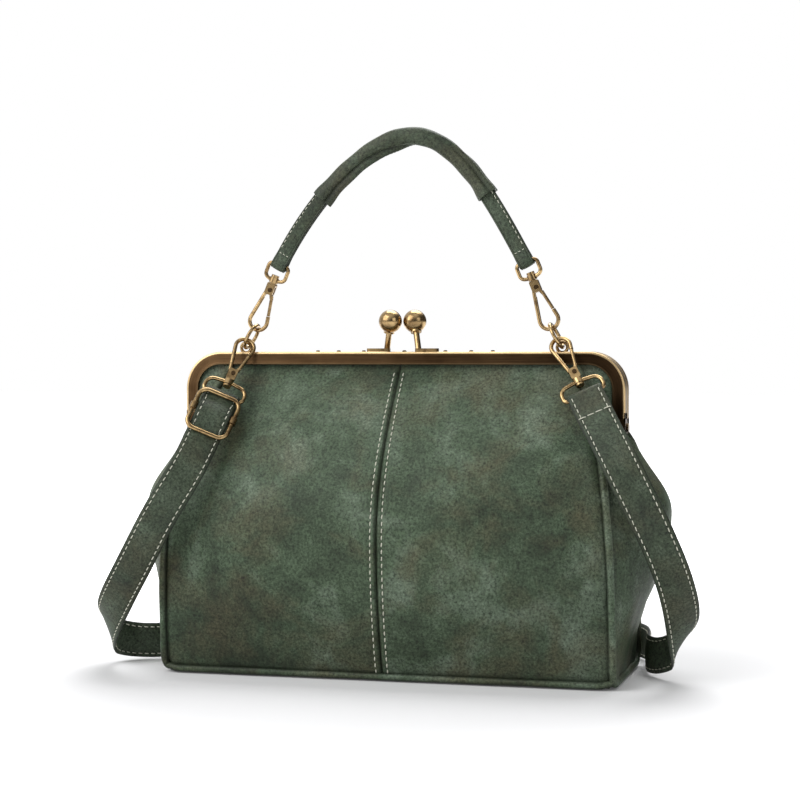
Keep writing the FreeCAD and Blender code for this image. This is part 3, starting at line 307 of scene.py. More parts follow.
def sweep(line: np.ndarray, across: np.ndarray, outward: np.ndarray, section: np.ndarray,
          wear: Optional[np.ndarray] = None) -> Draft:
    """A closed section carried along a line.

    Args:
        line: Points of the line.
        across: The section's first direction at each point.
        outward: The section's second direction at each point.
        section: The section's points, one set for all or one for each point of the line.
        wear: Wear, painted shade and painted highlight of each point of the section.

    Returns:
        The swept solid with flat ends.
    """
    count = len(line)
    loops = np.broadcast_to(section, (count,) + section.shape[-2:])
    rings = line[:, None] + across[:, None] * loops[..., :1] + outward[:, None] * loops[..., 1:]
    sides = loops.shape[1]
    faces = grid_faces(count, sides, ring=True)
    faces.append(tuple(reversed(range(sides))))
    faces.append(tuple(range((count - 1) * sides, count * sides)))
    marks = None if wear is None else np.broadcast_to(wear, (count, sides)).ravel()
    return Draft(rings.reshape(-1, 3), faces, marks)


def circle(radius: float, sides: int) -> np.ndarray:
    """Points of a round section."""
    angles = np.linspace(0.0, 2 * math.pi, sides, endpoint=False)
    return np.stack([np.cos(angles), np.sin(angles)], axis=-1) * radius


def tube(line: np.ndarray, radius: np.ndarray, reference: Point, sides: int = 12) -> Draft:
    """A round tube along a line.

    Args:
        line: Points of the line.
        radius: Radius at each point.
        reference: A direction that the line never runs along.
        sides: Number of sides.

    Returns:
        The tube with closed ends.
    """
    way = along(line)
    across = unit(np.array(reference) - way * (way @ np.array(reference))[:, None])
    section = circle(1.0, sides)[None] * np.broadcast_to(radius, (len(line),))[:, None, None]
    return sweep(line, across, np.cross(way, across), section)


@dataclass(frozen=True)
class Stitching:
    """A run of sewing: length of a stitch, the gap after it and half the thread's thickness.

    stations are places along a stitch as shares of its length. At each of them the thread has a lift, a
    bulk and a slant, as shares of half its thickness.
    """

    length: float = 0.0026
    gap: float = 0.0011
    thread: float = 0.00030
    sides: int = 6
    stations: tuple[float, ...] = (-0.5, -0.34, 0.0, 0.34, 0.5)
    lift: tuple[float, ...] = (-0.9, 0.35, 0.7, 0.35, -0.9)
    bulk: tuple[float, ...] = (0.45, 0.9, 1.0, 0.9, 0.45)
    slant: tuple[float, ...] = (-0.35, -0.2, 0.0, 0.2, 0.35)

    def run(self, line: np.ndarray, normal: np.ndarray) -> Draft:
        """Stitches along a line on a surface.

        Args:
            line: Points of the line, on the surface.
            normal: The surface's outward direction at each point.

        Returns:
            All the stitches as one draft.
        """
        places = run_length(line)
        count = max(1, int((places[-1] - self.gap) / (self.length + self.gap)))
        pitch = places[-1] / count
        stations = np.array(self.stations) * self.length
        lift, radii, slant = (np.array(v) * self.thread for v in (self.lift, self.bulk, self.slant))
        where = (np.arange(count) + 0.5)[:, None] * pitch + stations[None]

        def at(values: np.ndarray) -> np.ndarray:
            """Values of the line at every station of every stitch."""
            return np.stack([np.interp(where, places, values[:, axis]) for axis in range(3)], axis=-1)

        centre = at(line)
        up = unit(at(normal))
        way = np.broadcast_to(unit(centre[:, -1:] - centre[:, :1]), centre.shape)
        aside = unit(np.cross(way, up))
        centre = centre + up * lift[:, None] + aside * slant[:, None]
        ring = circle(1.0, self.sides)
        rings = (centre[:, :, None]
                 + aside[:, :, None] * (ring[:, :1] * radii[:, None, None])
                 + up[:, :, None] * (ring[:, 1:] * radii[:, None, None]))
        size = len(stations) * self.sides
        single = grid_faces(len(stations), self.sides, ring=True)
        single += [tuple(reversed(range(self.sides))), tuple(range(size - self.sides, size))]
        faces = [tuple(k * size + corner for corner in face) for k in range(count) for face in single]
        return Draft(rings.reshape(-1, 3), faces)


class NodeSheet:
    """The nodes of a material or a world, laid down with short calls."""

    def __init__(self, owner: Union[bpy.types.Material, bpy.types.World]) -> None:
        """Start with no nodes.

        Args:
            owner: The material or the world.
        """
        owner.use_nodes = True
        self.nodes = owner.node_tree.nodes
        self.links = owner.node_tree.links
        self.nodes.clear()

    def add(self, kind: str, inputs: dict[Union[int, str], Any], **settings: str) -> bpy.types.Node:
        """Lay down one node.

        Args:
            kind: The node's type.
            inputs: What each input gets: a socket to link or a plain value.
            settings: The node's own settings.

        Returns:
            The node.
        """
        node = self.nodes.new(kind)
        for name, choice in settings.items():
            setattr(node, name, choice)
        for key, value in inputs.items():
            if isinstance(value, Socket):
                self.links.new(value, node.inputs[key])
            else:
                node.inputs[key].default_value = value
        return node

    def carried(self, name: str, output: str) -> Socket:
        """A value that the mesh carries."""
        return self.add("ShaderNodeAttribute", {}, attribute_name=name).outputs[output]

    def own_place(self) -> Socket:
        """The place in the object's own space."""
        return self.add("ShaderNodeTexCoord", {}).outputs["Object"]

    def stretched(self, place: Socket, scale: Point, shift: Point = (0.0, 0.0, 0.0)) -> Socket:
        """A place stretched by a factor for each direction and then shifted."""
        return self.add("ShaderNodeMapping", {"Vector": place, "Scale": scale, "Location": shift}).outputs["Vector"]

    def noise(self, place: Socket, scale: float, detail: float, rough: float = 0.55, twist: float = 0.0) -> Socket:
        """A cloudy value from 0 to 1.

        Args:
            place: Where the pattern sits.
            scale: How many clouds to the metre.
            detail: How many finer layers.
            rough: How strong the finer layers are.
            twist: How much the clouds are distorted.

        Returns:
            The value.
        """
        values = {"Vector": place, "Scale": scale, "Detail": detail, "Roughness": rough, "Distortion": twist}
        return self.add("ShaderNodeTexNoise", values).outputs["Fac"]

    def cells(self, place: Socket, scale: float) -> Socket:
        """Distance from the middle of rounded cells, so many to the metre."""
        return self.add("ShaderNodeTexVoronoi", {"Vector": place, "Scale": scale},
                        feature="SMOOTH_F1").outputs["Distance"]

    def spread(self, value: Socket, source: Range, target: Range, how: str = "LINEAR") -> Socket:
        """A value moved from one range to another.

        Args:
            value: The value.
            source: The range that it has.
            target: The range that it gets.
            how: The kind of step between the range's ends.

        Returns:
            The moved value, held inside its new range.
        """
        limits = dict(zip(("From Min", "From Max", "To Min", "To Max"), source + target))
        return self.add("ShaderNodeMapRange", {"Value": value, **limits}, interpolation_type=how).outputs["Result"]

    def sums(self, first: Socket, second: Socket, how: str = "ADD") -> Socket:
        """Two values added or otherwise put together."""
        return self.add("ShaderNodeMath", {0: first, 1: second}, operation=how).outputs[0]

    def ramp(self, value: Socket, stops: Sequence[tuple[float, Colour]]) -> Socket:
        """A colour picked by a value.

        Args:
            value: The value.
            stops: Places from 0 to 1 with their colours.

        Returns:
            The colour.
        """
        node = self.add("ShaderNodeValToRGB", {"Fac": value})
        marks = node.color_ramp.elements
        while len(marks) < len(stops):
            marks.new(0.5)
        for mark, (place, colour) in zip(marks, stops):
            mark.position = place
            mark.color = (*colour, 1.0)
        return node.outputs["Color"]

    def mixed(self, share: Socket, first: Socket, second: Colour) -> Socket:
        """A colour drawn towards a second one by a share."""
        return self.add("ShaderNodeMix", {0: share, 6: first, 7: (*second, 1.0)}, data_type="RGBA").outputs[2]

    def shaded(self, colour: Socket, level: Socket) -> Socket:
        """A colour made lighter or darker by a level."""
        return self.add("ShaderNodeVectorMath", {0: colour, "Scale": level}, operation="SCALE").outputs[0]

    def part(self, place: Socket, way: Point) -> Socket:
        """How far a place lies along a direction."""
        return self.add("ShaderNodeVectorMath", {0: place, 1: way}, operation="DOT_PRODUCT").outputs["Value"]

    def seen_directly(self) -> Socket:
        """Whether a ray comes from the camera, a reflection or a see-through surface.

        Returns:
            1 for such a ray and 0 for others.
        """
        rays = self.add("ShaderNodeLightPath", {}).outputs
        total = rays["Is Camera Ray"]
        for name in ("Is Glossy Ray", "Is Transmission Ray"):
            total = self.sums(total, rays[name], "MAXIMUM")
        return total


class Surface(NodeSheet):
    """The nodes of a material with one plain shader."""

    def __init__(self, name: str) -> None:
        """Start the material.

        Args:
            name: The material's name.
        """
        self.material = bpy.data.materials.new(name)
        super().__init__(self.material)
        self.shader = self.add("ShaderNodeBsdfPrincipled", {})
        self.add("ShaderNodeOutputMaterial", {"Surface": self.shader.outputs[0]})

    def relief(self, height: Socket, strength: float, depth: float) -> None:
        """Let a height roughen the shader's surface, to a depth in metres."""
        bump = self.add("ShaderNodeBump", {"Strength": strength, "Distance": depth, "Height": height})
        self.links.new(bump.outputs["Normal"], self.shader.inputs["Normal"])

    def paint(self, colour: Socket, rough: Socket) -> None:
        """Give the shader its colour and roughness."""
        self.links.new(colour, self.shader.inputs["Base Color"])
        self.links.new(rough, self.shader.inputs["Roughness"])

    def fixed(self, **values: float) -> None:
        """Set sockets of the shader that are the same all over, named with _ for a space."""
        for name, value in values.items():
            self.shader.inputs[name.replace("_", " ")].default_value = value


@dataclass(frozen=True)
class Finish:
    """A surface finish, made once and shared by the pieces that wear it."""

    name: str

    def material(self) -> bpy.types.Material:
        """The finish's material, made at its first use."""
        return bpy.data.materials.get(self.name) or self.make()

    def make(self) -> bpy.types.Material:
        """Build the material's nodes."""
        raise NotImplementedError


@dataclass(frozen=True)
class LeatherFinish(Finish):
    """Soft waxed leather with cloudy patches, a fine grain, darker edges, and painted shade in its grooves, creases
    and where other parts cover it.
    """

    deep: Colour = (0.022, 0.033, 0.018)
    middle: Colour = (0.055, 0.083, 0.048)
    pale: Colour = (0.118, 0.156, 0.110)
    brown: Colour = (0.078, 0.070, 0.038)
    # Dark colour for darker edges and for painted shade in grooves and creases, mixed in by the wear value.
    edge: Colour = (0.009, 0.012, 0.007)
    cloud_scale: float = 15.0
    cloud_share: float = 0.62
    blotch_scale: float = 62.0
    blotch_share: float = 0.38
    brown_span: Range = (0.47, 0.69)
    brown_most: float = 0.64
    brown_shift: Point = (0.37, 0.11, 0.53)
    grain_scale: float = 950.0
    grain_depth: float = 0.0004
    speck_levels: Range = (0.24, 1.76)
    edge_most: float = 0.8
    roughness: Range = (0.48, 0.64)
    gloss: float = 0.24

    def make(self) -> bpy.types.Material:
        """Build the material's nodes.

        Returns:
            The material.
        """
        nodes = Surface(self.name)
        lay = nodes.carried("lay", "Vector")
        clouds = nodes.noise(lay, self.cloud_scale, 4.0, 0.62, 0.9)
        blotches = nodes.noise(lay, self.blotch_scale, 6.0, 0.66, 0.4)
        patch = nodes.sums(nodes.spread(clouds, NOISE_SPAN, (0.0, self.cloud_share)),
                           nodes.spread(blotches, NOISE_SPAN, (0.0, self.blotch_share)))
        colour = nodes.ramp(patch, [(0.20, self.deep), (0.50, self.middle), (0.80, self.pale)])
        moved = nodes.stretched(lay, (1.0, 1.0, 1.0), self.brown_shift)
        rust = nodes.noise(moved, 1.9 * self.cloud_scale, 5.0, 0.6, 0.5)
        colour = nodes.mixed(nodes.spread(rust, self.brown_span, (0.0, self.brown_most)), colour, self.brown)
        specks = nodes.noise(lay, 0.75 * self.grain_scale, 3.0, 0.75)
        colour = nodes.shaded(colour, nodes.spread(specks, NOISE_SPAN, self.speck_levels))
        # Mix in the dark colour: darker edges and painted shade.
        wear = nodes.spread(nodes.carried("wear", "Fac"), (0.0, 1.0), (0.0, self.edge_most))
        nodes.paint(nodes.mixed(wear, colour, self.edge), nodes.spread(blotches, NOISE_SPAN, self.roughness))
        grain = nodes.sums(nodes.cells(lay, self.grain_scale), nodes.noise(lay, 0.45 * self.grain_scale, 3.0))
        nodes.relief(grain, 0.22, self.grain_depth)
        nodes.fixed(Specular_IOR_Level=self.gloss)
        return nodes.material


@dataclass(frozen=True)
class BrassFinish(Finish):
    """Aged brass: rubbed bright, with a brown film in cloudy patches."""

    bright: Colour = (0.40, 0.278, 0.134)
    film: Colour = (0.125, 0.078, 0.036)
    film_share: Range = (0.43, 0.67)
    roughness: Range = (0.15, 0.28)
    scale: float = 130.0

    def make(self) -> bpy.types.Material:
        """Build the material's nodes.

        Returns:
            The material.
        """
        nodes = Surface(self.name)
        place = nodes.own_place()
        clouds = nodes.noise(place, self.scale, 5.0, 0.6, 0.5)
        colour = nodes.ramp(clouds, list(zip(self.film_share, (self.bright, self.film))))
        nodes.paint(colour, nodes.spread(clouds, NOISE_SPAN, self.roughness))
        nodes.relief(nodes.noise(place, 18.0 * self.scale, 2.0), 0.05, 0.0001)
        nodes.fixed(Metallic=1.0)
        return nodes.material


@dataclass(frozen=True)
class FrameFinish(Finish):
    """Brushed bronze, with painted shade that darkens it towards the right along its run, and a painted highlight of
    bright brass, partly real rubbing, along the rounded edges.
    """

    face: Colour = (0.098, 0.057, 0.027)
    dark: Colour = (0.042, 0.023, 0.0105)
    # Bright brass of the painted highlight along the rounded edges, partly rubbed brass.
    rubbed: Colour = (0.70, 0.51, 0.27)
    brush: Point = (30.0, 2600.0, 2600.0)
    # Painted shade along the arch: where it starts and ends, and its levels.
    patina_run: Range = (0.06, 0.24)
    patina_levels: Range = (1.10, 0.40)
    roughness: Range = (0.30, 0.44)

    def make(self) -> bpy.types.Material:
        """Build the material's nodes.

        Returns:
            The material.
        """
        nodes = Surface(self.name)
        lay = nodes.carried("lay", "Vector")
        hairs = nodes.noise(nodes.stretched(lay, self.brush), 1.0, 3.0)
        clouds = nodes.noise(lay, 40.0, 4.0, 0.6)
        tone = nodes.sums(nodes.spread(clouds, NOISE_SPAN, (0.0, 0.6)), nodes.spread(hairs, NOISE_SPAN, (0.0, 0.4)))
        colour = nodes.ramp(tone, [(0.15, self.dark), (0.85, self.face)])
        # Painted shade: darker towards the right along the arch, standing in for the fall-off of the reflected key
        # light.
        painted_shade = nodes.spread(nodes.part(lay, (1.0, 0.0, 0.0)), self.patina_run, self.patina_levels)
        # Painted highlight, partly rubbed brass: bright brass where the section marks its rounded edges.
        rub_and_painted_light = nodes.sums(nodes.carried("wear", "Fac"), nodes.spread(clouds, (0.2, 0.7), (0.55, 1.0)), "MULTIPLY")
        colour = nodes.mixed(rub_and_painted_light, nodes.shaded(colour, painted_shade), self.rubbed)
        nodes.paint(colour, nodes.spread(hairs, NOISE_SPAN, self.roughness))
        nodes.relief(hairs, 0.06, 0.0001)
        nodes.fixed(Metallic=1.0)
        return nodes.material


@dataclass(frozen=True)
class ThreadFinish(Finish):
    """Waxed cream sewing thread."""

    pale: Colour = (0.66, 0.66, 0.55)
    dull: Colour = (0.42, 0.42, 0.33)

    def make(self) -> bpy.types.Material:
        """Build the material's nodes.

        Returns:
            The material.
        """
        nodes = Surface(self.name)
        fibres = nodes.noise(nodes.carried("lay", "Vector"), 2600.0, 3.0)
        colour = nodes.ramp(fibres, [(0.3, self.dull), (0.6, self.pale)])
        nodes.paint(colour, nodes.spread(fibres, NOISE_SPAN, (0.6, 0.8)))
        nodes.relief(fibres, 0.3, 0.0001)
        return nodes.material


@dataclass(frozen=True)
class ClothFinish(Finish):
    """Plain woven lining cloth."""

    warp: Colour = (0.045, 0.036, 0.026)
    weft: Colour = (0.074, 0.060, 0.043)
    threads: float = 1500.0
    slubs: float = 60.0

    def make(self) -> bpy.types.Material:
        """Build the material's nodes.

        Returns:
            The material.
        """
        nodes = Surface(self.name)
        lay = nodes.carried("lay", "Vector")
        upright = nodes.noise(nodes.stretched(lay, (self.threads, self.threads, self.slubs)), 1.0, 2.0)
        level = nodes.noise(nodes.stretched(lay, (self.slubs, self.slubs, self.threads)), 1.0, 2.0)
        weave = nodes.sums(upright, level, "MULTIPLY")
        colour = nodes.ramp(weave, [(0.12, self.warp), (0.40, self.weft)])
        nodes.paint(colour, nodes.spread(weave, (0.1, 0.4), (0.75, 0.9)))
        nodes.relief(weave, 0.3, 0.0003)
        nodes.fixed(Sheen_Weight=0.2)
        return nodes.material


@dataclass(frozen=True)
class BoardFinish(Finish):
    """Grey pressed board."""

    pale: Colour = (0.30, 0.27, 0.23)
    dark: Colour = (0.19, 0.17, 0.14)

    def make(self) -> bpy.types.Material:
        """Build the material's nodes.

        Returns:
            The material.
        """
        nodes = Surface(self.name)
        flecks = nodes.noise(nodes.own_place(), 400.0, 5.0, 0.7)
        nodes.paint(nodes.ramp(flecks, list(zip(NOISE_SPAN, (self.dark, self.pale)))),
                    nodes.spread(flecks, NOISE_SPAN, (0.8, 0.95)))
        nodes.relief(flecks, 0.2, 0.0003)
        return nodes.material


LEATHER = LeatherFinish("waxed_leather")
STRAP_LEATHER = LeatherFinish("waxed_strap_leather", deep=(0.018, 0.025, 0.015), middle=(0.038, 0.053, 0.032),
                              pale=(0.070, 0.092, 0.062), brown=(0.058, 0.054, 0.031), gloss=0.26)
HARDWARE = BrassFinish("aged_brass")
RIVET_METAL = BrassFinish("darkened_brass", bright=(0.090, 0.056, 0.028), film=(0.028, 0.017, 0.009))
FRAME_METAL = FrameFinish("brushed_bronze")
THREAD = ThreadFinish("cream_thread")
CLOTH = ClothFinish("lining_cloth")
BOARD = BoardFinish("base_board")


@dataclass(frozen=True)
class Lamp:
    """A soft square lamp: where it hangs, its power in watts and its width."""

    name: str
    place: Point
    power: float
    width: float

    def hang(self, target: Point) -> None:
        """Hang the lamp so that it points at a target.

        Args:
            target: What it points at.
        """
        data = bpy.data.lights.new(self.name, "AREA")
        data.energy = self.power
        data.size = self.width
        thing = bpy.data.objects.new(self.name, data)
        thing.location = self.place
        thing.rotation_mode = "QUATERNION"
        thing.rotation_quaternion = (Vector(target) - Vector(self.place)).to_track_quat("-Z", "Y")
        bpy.context.scene.collection.objects.link(thing)


@dataclass(frozen=True)
class Studio:
    """Camera, floor, world and lamps."""

    yaw: float = 15.0
    pitch: float = 0.76
    roll: float = 0.10
    distance: float = 1.1244
    target_height: float = 0.1691
    focal_pixels: float = 1981.4
    picture: float = 800.0
    centre: Range = (402.7, 370.9)
    sensor: float = 36.0
    floor_half: float = 6.0
    floor_level: float = -0.0003
    floor_colour: Colour = (0.78, 0.78, 0.79)
    floor_lift: float = 0.06
    floor_fade: Range = (0.16, 0.52)
    room_light: float = 0.34
    room_back: float = 0.12
    room_bright: Point = (-0.8, 0.0, 1.0)
    room_run: Range = (-0.10, 0.80)
    white: tuple[float, ...] = (1.0, 1.0, 1.0, 1.0)
    lamps: tuple[Lamp, ...] = (Lamp("key", (-1.05, -1.20, 1.20), 26.5, 1.5), Lamp("fill", (1.2, -0.9, 0.7), 3.0, 0.8),
                               Lamp("top", (0.0, 0.70, 1.35), 22.0, 1.2))
    lamp_target: Point = (0.0, 0.0, 0.12)

    def camera(self) -> None:
        """Set the camera at the photograph's angle."""
        yaw = math.radians(self.yaw)
        pitch = math.radians(self.pitch)
        ahead = Vector((-math.sin(yaw) * math.cos(pitch), math.cos(yaw) * math.cos(pitch), -math.sin(pitch)))
        data = bpy.data.cameras.new("camera")
        data.sensor_width = self.sensor
        data.lens = self.focal_pixels / self.picture * self.sensor
        data.shift_x = (self.picture / 2 - self.centre[0]) / self.picture
        data.shift_y = (self.centre[1] - self.picture / 2) / self.picture
        data.clip_start = 0.01
        lens = bpy.data.objects.new("camera", data)
        lens.location = Vector((0.0, 0.0, self.target_height)) - ahead * self.distance
        lens.rotation_mode = "QUATERNION"
        turn = Quaternion(ahead, math.radians(self.roll))
        lens.rotation_quaternion = turn @ ahead.to_track_quat("-Z", "Y")
        bpy.context.scene.collection.objects.link(lens)
        bpy.context.scene.camera = lens
        bpy.context.scene.view_settings.view_transform = "Standard"

    def floor(self) -> None:
        """A pale floor that turns white away from the bag and keeps its shadow."""
        mesh = bpy.data.meshes.new("floor")
        corners = [(across * self.floor_half, deep * self.floor_half, self.floor_level)
                   for across, deep in ((-1, -1), (1, -1), (1, 1), (-1, 1))]
        mesh.from_pydata(corners, [], [(0, 1, 2, 3)])
        plane = bpy.data.objects.new("floor", mesh)
        bpy.context.scene.collection.objects.link(plane)
        material = bpy.data.materials.new("pale_floor")
        nodes = NodeSheet(material)
        far = nodes.add("ShaderNodeVectorMath", {0: nodes.own_place()}, operation="LENGTH").outputs["Value"]
        fade = nodes.spread(far, self.floor_fade, (self.floor_lift, 1.0), "SMOOTHSTEP")
        level = nodes.sums(fade, nodes.seen_directly(), "MULTIPLY")
        matt = nodes.add("ShaderNodeBsdfDiffuse", {"Color": (*self.floor_colour, 1.0)})
        glow = nodes.add("ShaderNodeEmission", {"Color": self.white, "Strength": level})
        both = nodes.add("ShaderNodeAddShader", {0: matt.outputs[0], 1: glow.outputs[0]})
        nodes.add("ShaderNodeOutputMaterial", {"Surface": both.outputs[0]})
        mesh.materials.append(material)

    def world(self) -> None:
        """White behind the bag, and for the metal to mirror a room that is bright above and to the left."""
        world = bpy.data.worlds.new("studio")
        bpy.context.scene.world = world
        nodes = NodeSheet(world)
        way = nodes.add("ShaderNodeTexCoord", {}).outputs["Generated"]
        room = nodes.spread(nodes.part(way, self.room_bright), self.room_run, (self.room_back, 1.0), "SMOOTHSTEP")
        camera_ray = nodes.add("ShaderNodeLightPath", {}).outputs["Is Camera Ray"]
        seen = nodes.sums(room, camera_ray, "MAXIMUM")
        strength = nodes.add("ShaderNodeMix", {0: nodes.seen_directly(), 2: self.room_light, 3: seen}).outputs[0]
        light = nodes.add("ShaderNodeBackground", {"Color": self.white, "Strength": strength})
        nodes.add("ShaderNodeOutputWorld", {"Surface": light.outputs[0]})

    def light(self) -> None:
        """Hang a large soft key light at the upper left, a fill at the right and a top light behind."""
        for lamp in self.lamps:
            lamp.hang(self.lamp_target)


@dataclass(frozen=True)
class Ribbon:
    """A flat sewn strap: its width, its thickness at the edges and how far it swells between the seams."""

    width: float
    thick: float
    swell: float = 0.0003
    seam_share: float = 0.78
    marks: tuple[float, ...] = (0.0, 0.25, 0.5, 0.66, 0.73, 0.78, 0.83, 0.90, 0.96, 1.0)
    edge_start: float = 0.88
    edge_loss: float = 0.75
    groove_depth: float = 0.12
    groove_width: float = 0.045
    # The strap is painted darker along its edges, and with painted shade in the grooves of its stitch lines.
    worn_edge: Range = (0.86, 1.0)
    worn_groove: float = 0.45
    worn_width: float = 0.07
    stitch_level: float = 0.44

    def profile(self, swell: np.ndarray) -> np.ndarray:
        """The section's upper side.

        Args:
            swell: How far the middle swells at each point of the strap's line.

        Returns:
            Half thickness at each mark, for each point of the line.
        """
        marks = np.array(self.marks)
        plain = self.thick / 2 * (1.0 - self.edge_loss * ease(marks, self.edge_start, 1.0))
        groove = self.groove_depth * self.thick * hump(marks, self.seam_share, self.groove_width)
        crown = np.cos(np.clip(marks / self.seam_share, 0.0, 1.0) * math.pi / 2)
        return (plain - groove)[None] + crown[None] * swell[:, None]

    def section(self, swell: np.ndarray) -> np.ndarray:
        """The whole section, round from the left edge over the upper side and back under it.

        Args:
            swell: How far the middle swells at each point of the strap's line.

        Returns:
            Points of the section, for each point of the line.
        """
        marks = np.array(self.marks) * self.width / 2
        high = self.profile(swell)
        across = np.concatenate([-marks[::-1], marks[1:]])
        upper = np.concatenate([high[:, ::-1], high[:, 1:]], axis=1)
        level = np.concatenate([upper, -upper], axis=1)
        aside = np.broadcast_to(np.concatenate([across, across[::-1]]), level.shape)
        return np.stack([aside, level], axis=-1)

    def make(self, line: np.ndarray, wide: np.ndarray, swell: Optional[np.ndarray] = None) -> Draft:
        """The strap along a line.

        Args:
            line: Points of the strap's middle line.
            wide: The way that its width points at each.
            swell: How far the middle swells at each, or the usual swell.

        Returns:
            The strap with closed ends.
        """
        swell = np.full(len(line), self.swell) if swell is None else swell
        wide, out = crosswise(line, wide)
        section = self.section(swell)
        aside = np.abs(section[0, :, 0]) / (self.width / 2)
        # Darker edges and painted shade in the stitch grooves.
        edge = np.maximum(ease(aside, *self.worn_edge),
                          self.worn_groove * hump(aside, self.seam_share, self.worn_width))
        return sweep(line, wide, out, section, edge)

    def seam(self, line: np.ndarray, wide: np.ndarray, edge: int, face: int, stitching: Stitching) -> Draft:
        """Stitches along one edge of one face.

        Args:
            line: Points of the strap's middle line.
            wide: The way that its width points at each.
            edge: -1 or 1, for the edge.
            face: -1 or 1, for the face.
            stitching: The kind of sewing.

        Returns:
            The stitches.
        """
        wide, out = crosswise(line, wide)
        out = out * face
        run = line + wide * (edge * self.seam_share * self.width / 2) + out * (self.stitch_level * self.thick)
        return stitching.run(run, out)


def spline_points(route: Sequence[Point], resolution: int) -> np.ndarray:
    """Points of the smooth spline that has a route as its control points.

    Args:
        route: The control points.
        resolution: Steps from one to the next.

    Returns:
        The points along the spline.
    """
    curve = bpy.data.curves.new("route", "CURVE")
    curve.dimensions = "3D"
    curve.resolution_u = resolution
    spline = curve.splines.new("NURBS")
    spline.points.add(len(route) - 1)
    for point, place in zip(spline.points, route):
        point.co = (*place, 1.0)
    spline.order_u = 3
    spline.use_endpoint_u = True
    holder = bpy.data.objects.new("route", curve)
    mesh = bpy.data.meshes.new_from_object(holder)
    points = np.array([vertex.co for vertex in mesh.vertices])
    bpy.data.objects.remove(holder)
    bpy.data.curves.remove(curve)
    bpy.data.meshes.remove(mesh)
    return points


@dataclass(frozen=True)
class StrapEnd:
    """Where a folded strap end hangs.

    It has the middle of the loop's bar, the directions of the strap's width, front and run, and the
    fold's length.
    """

    hand: Hand
    bar: Point
    wide: Point
    front: Point
    down: Point
    fold: float


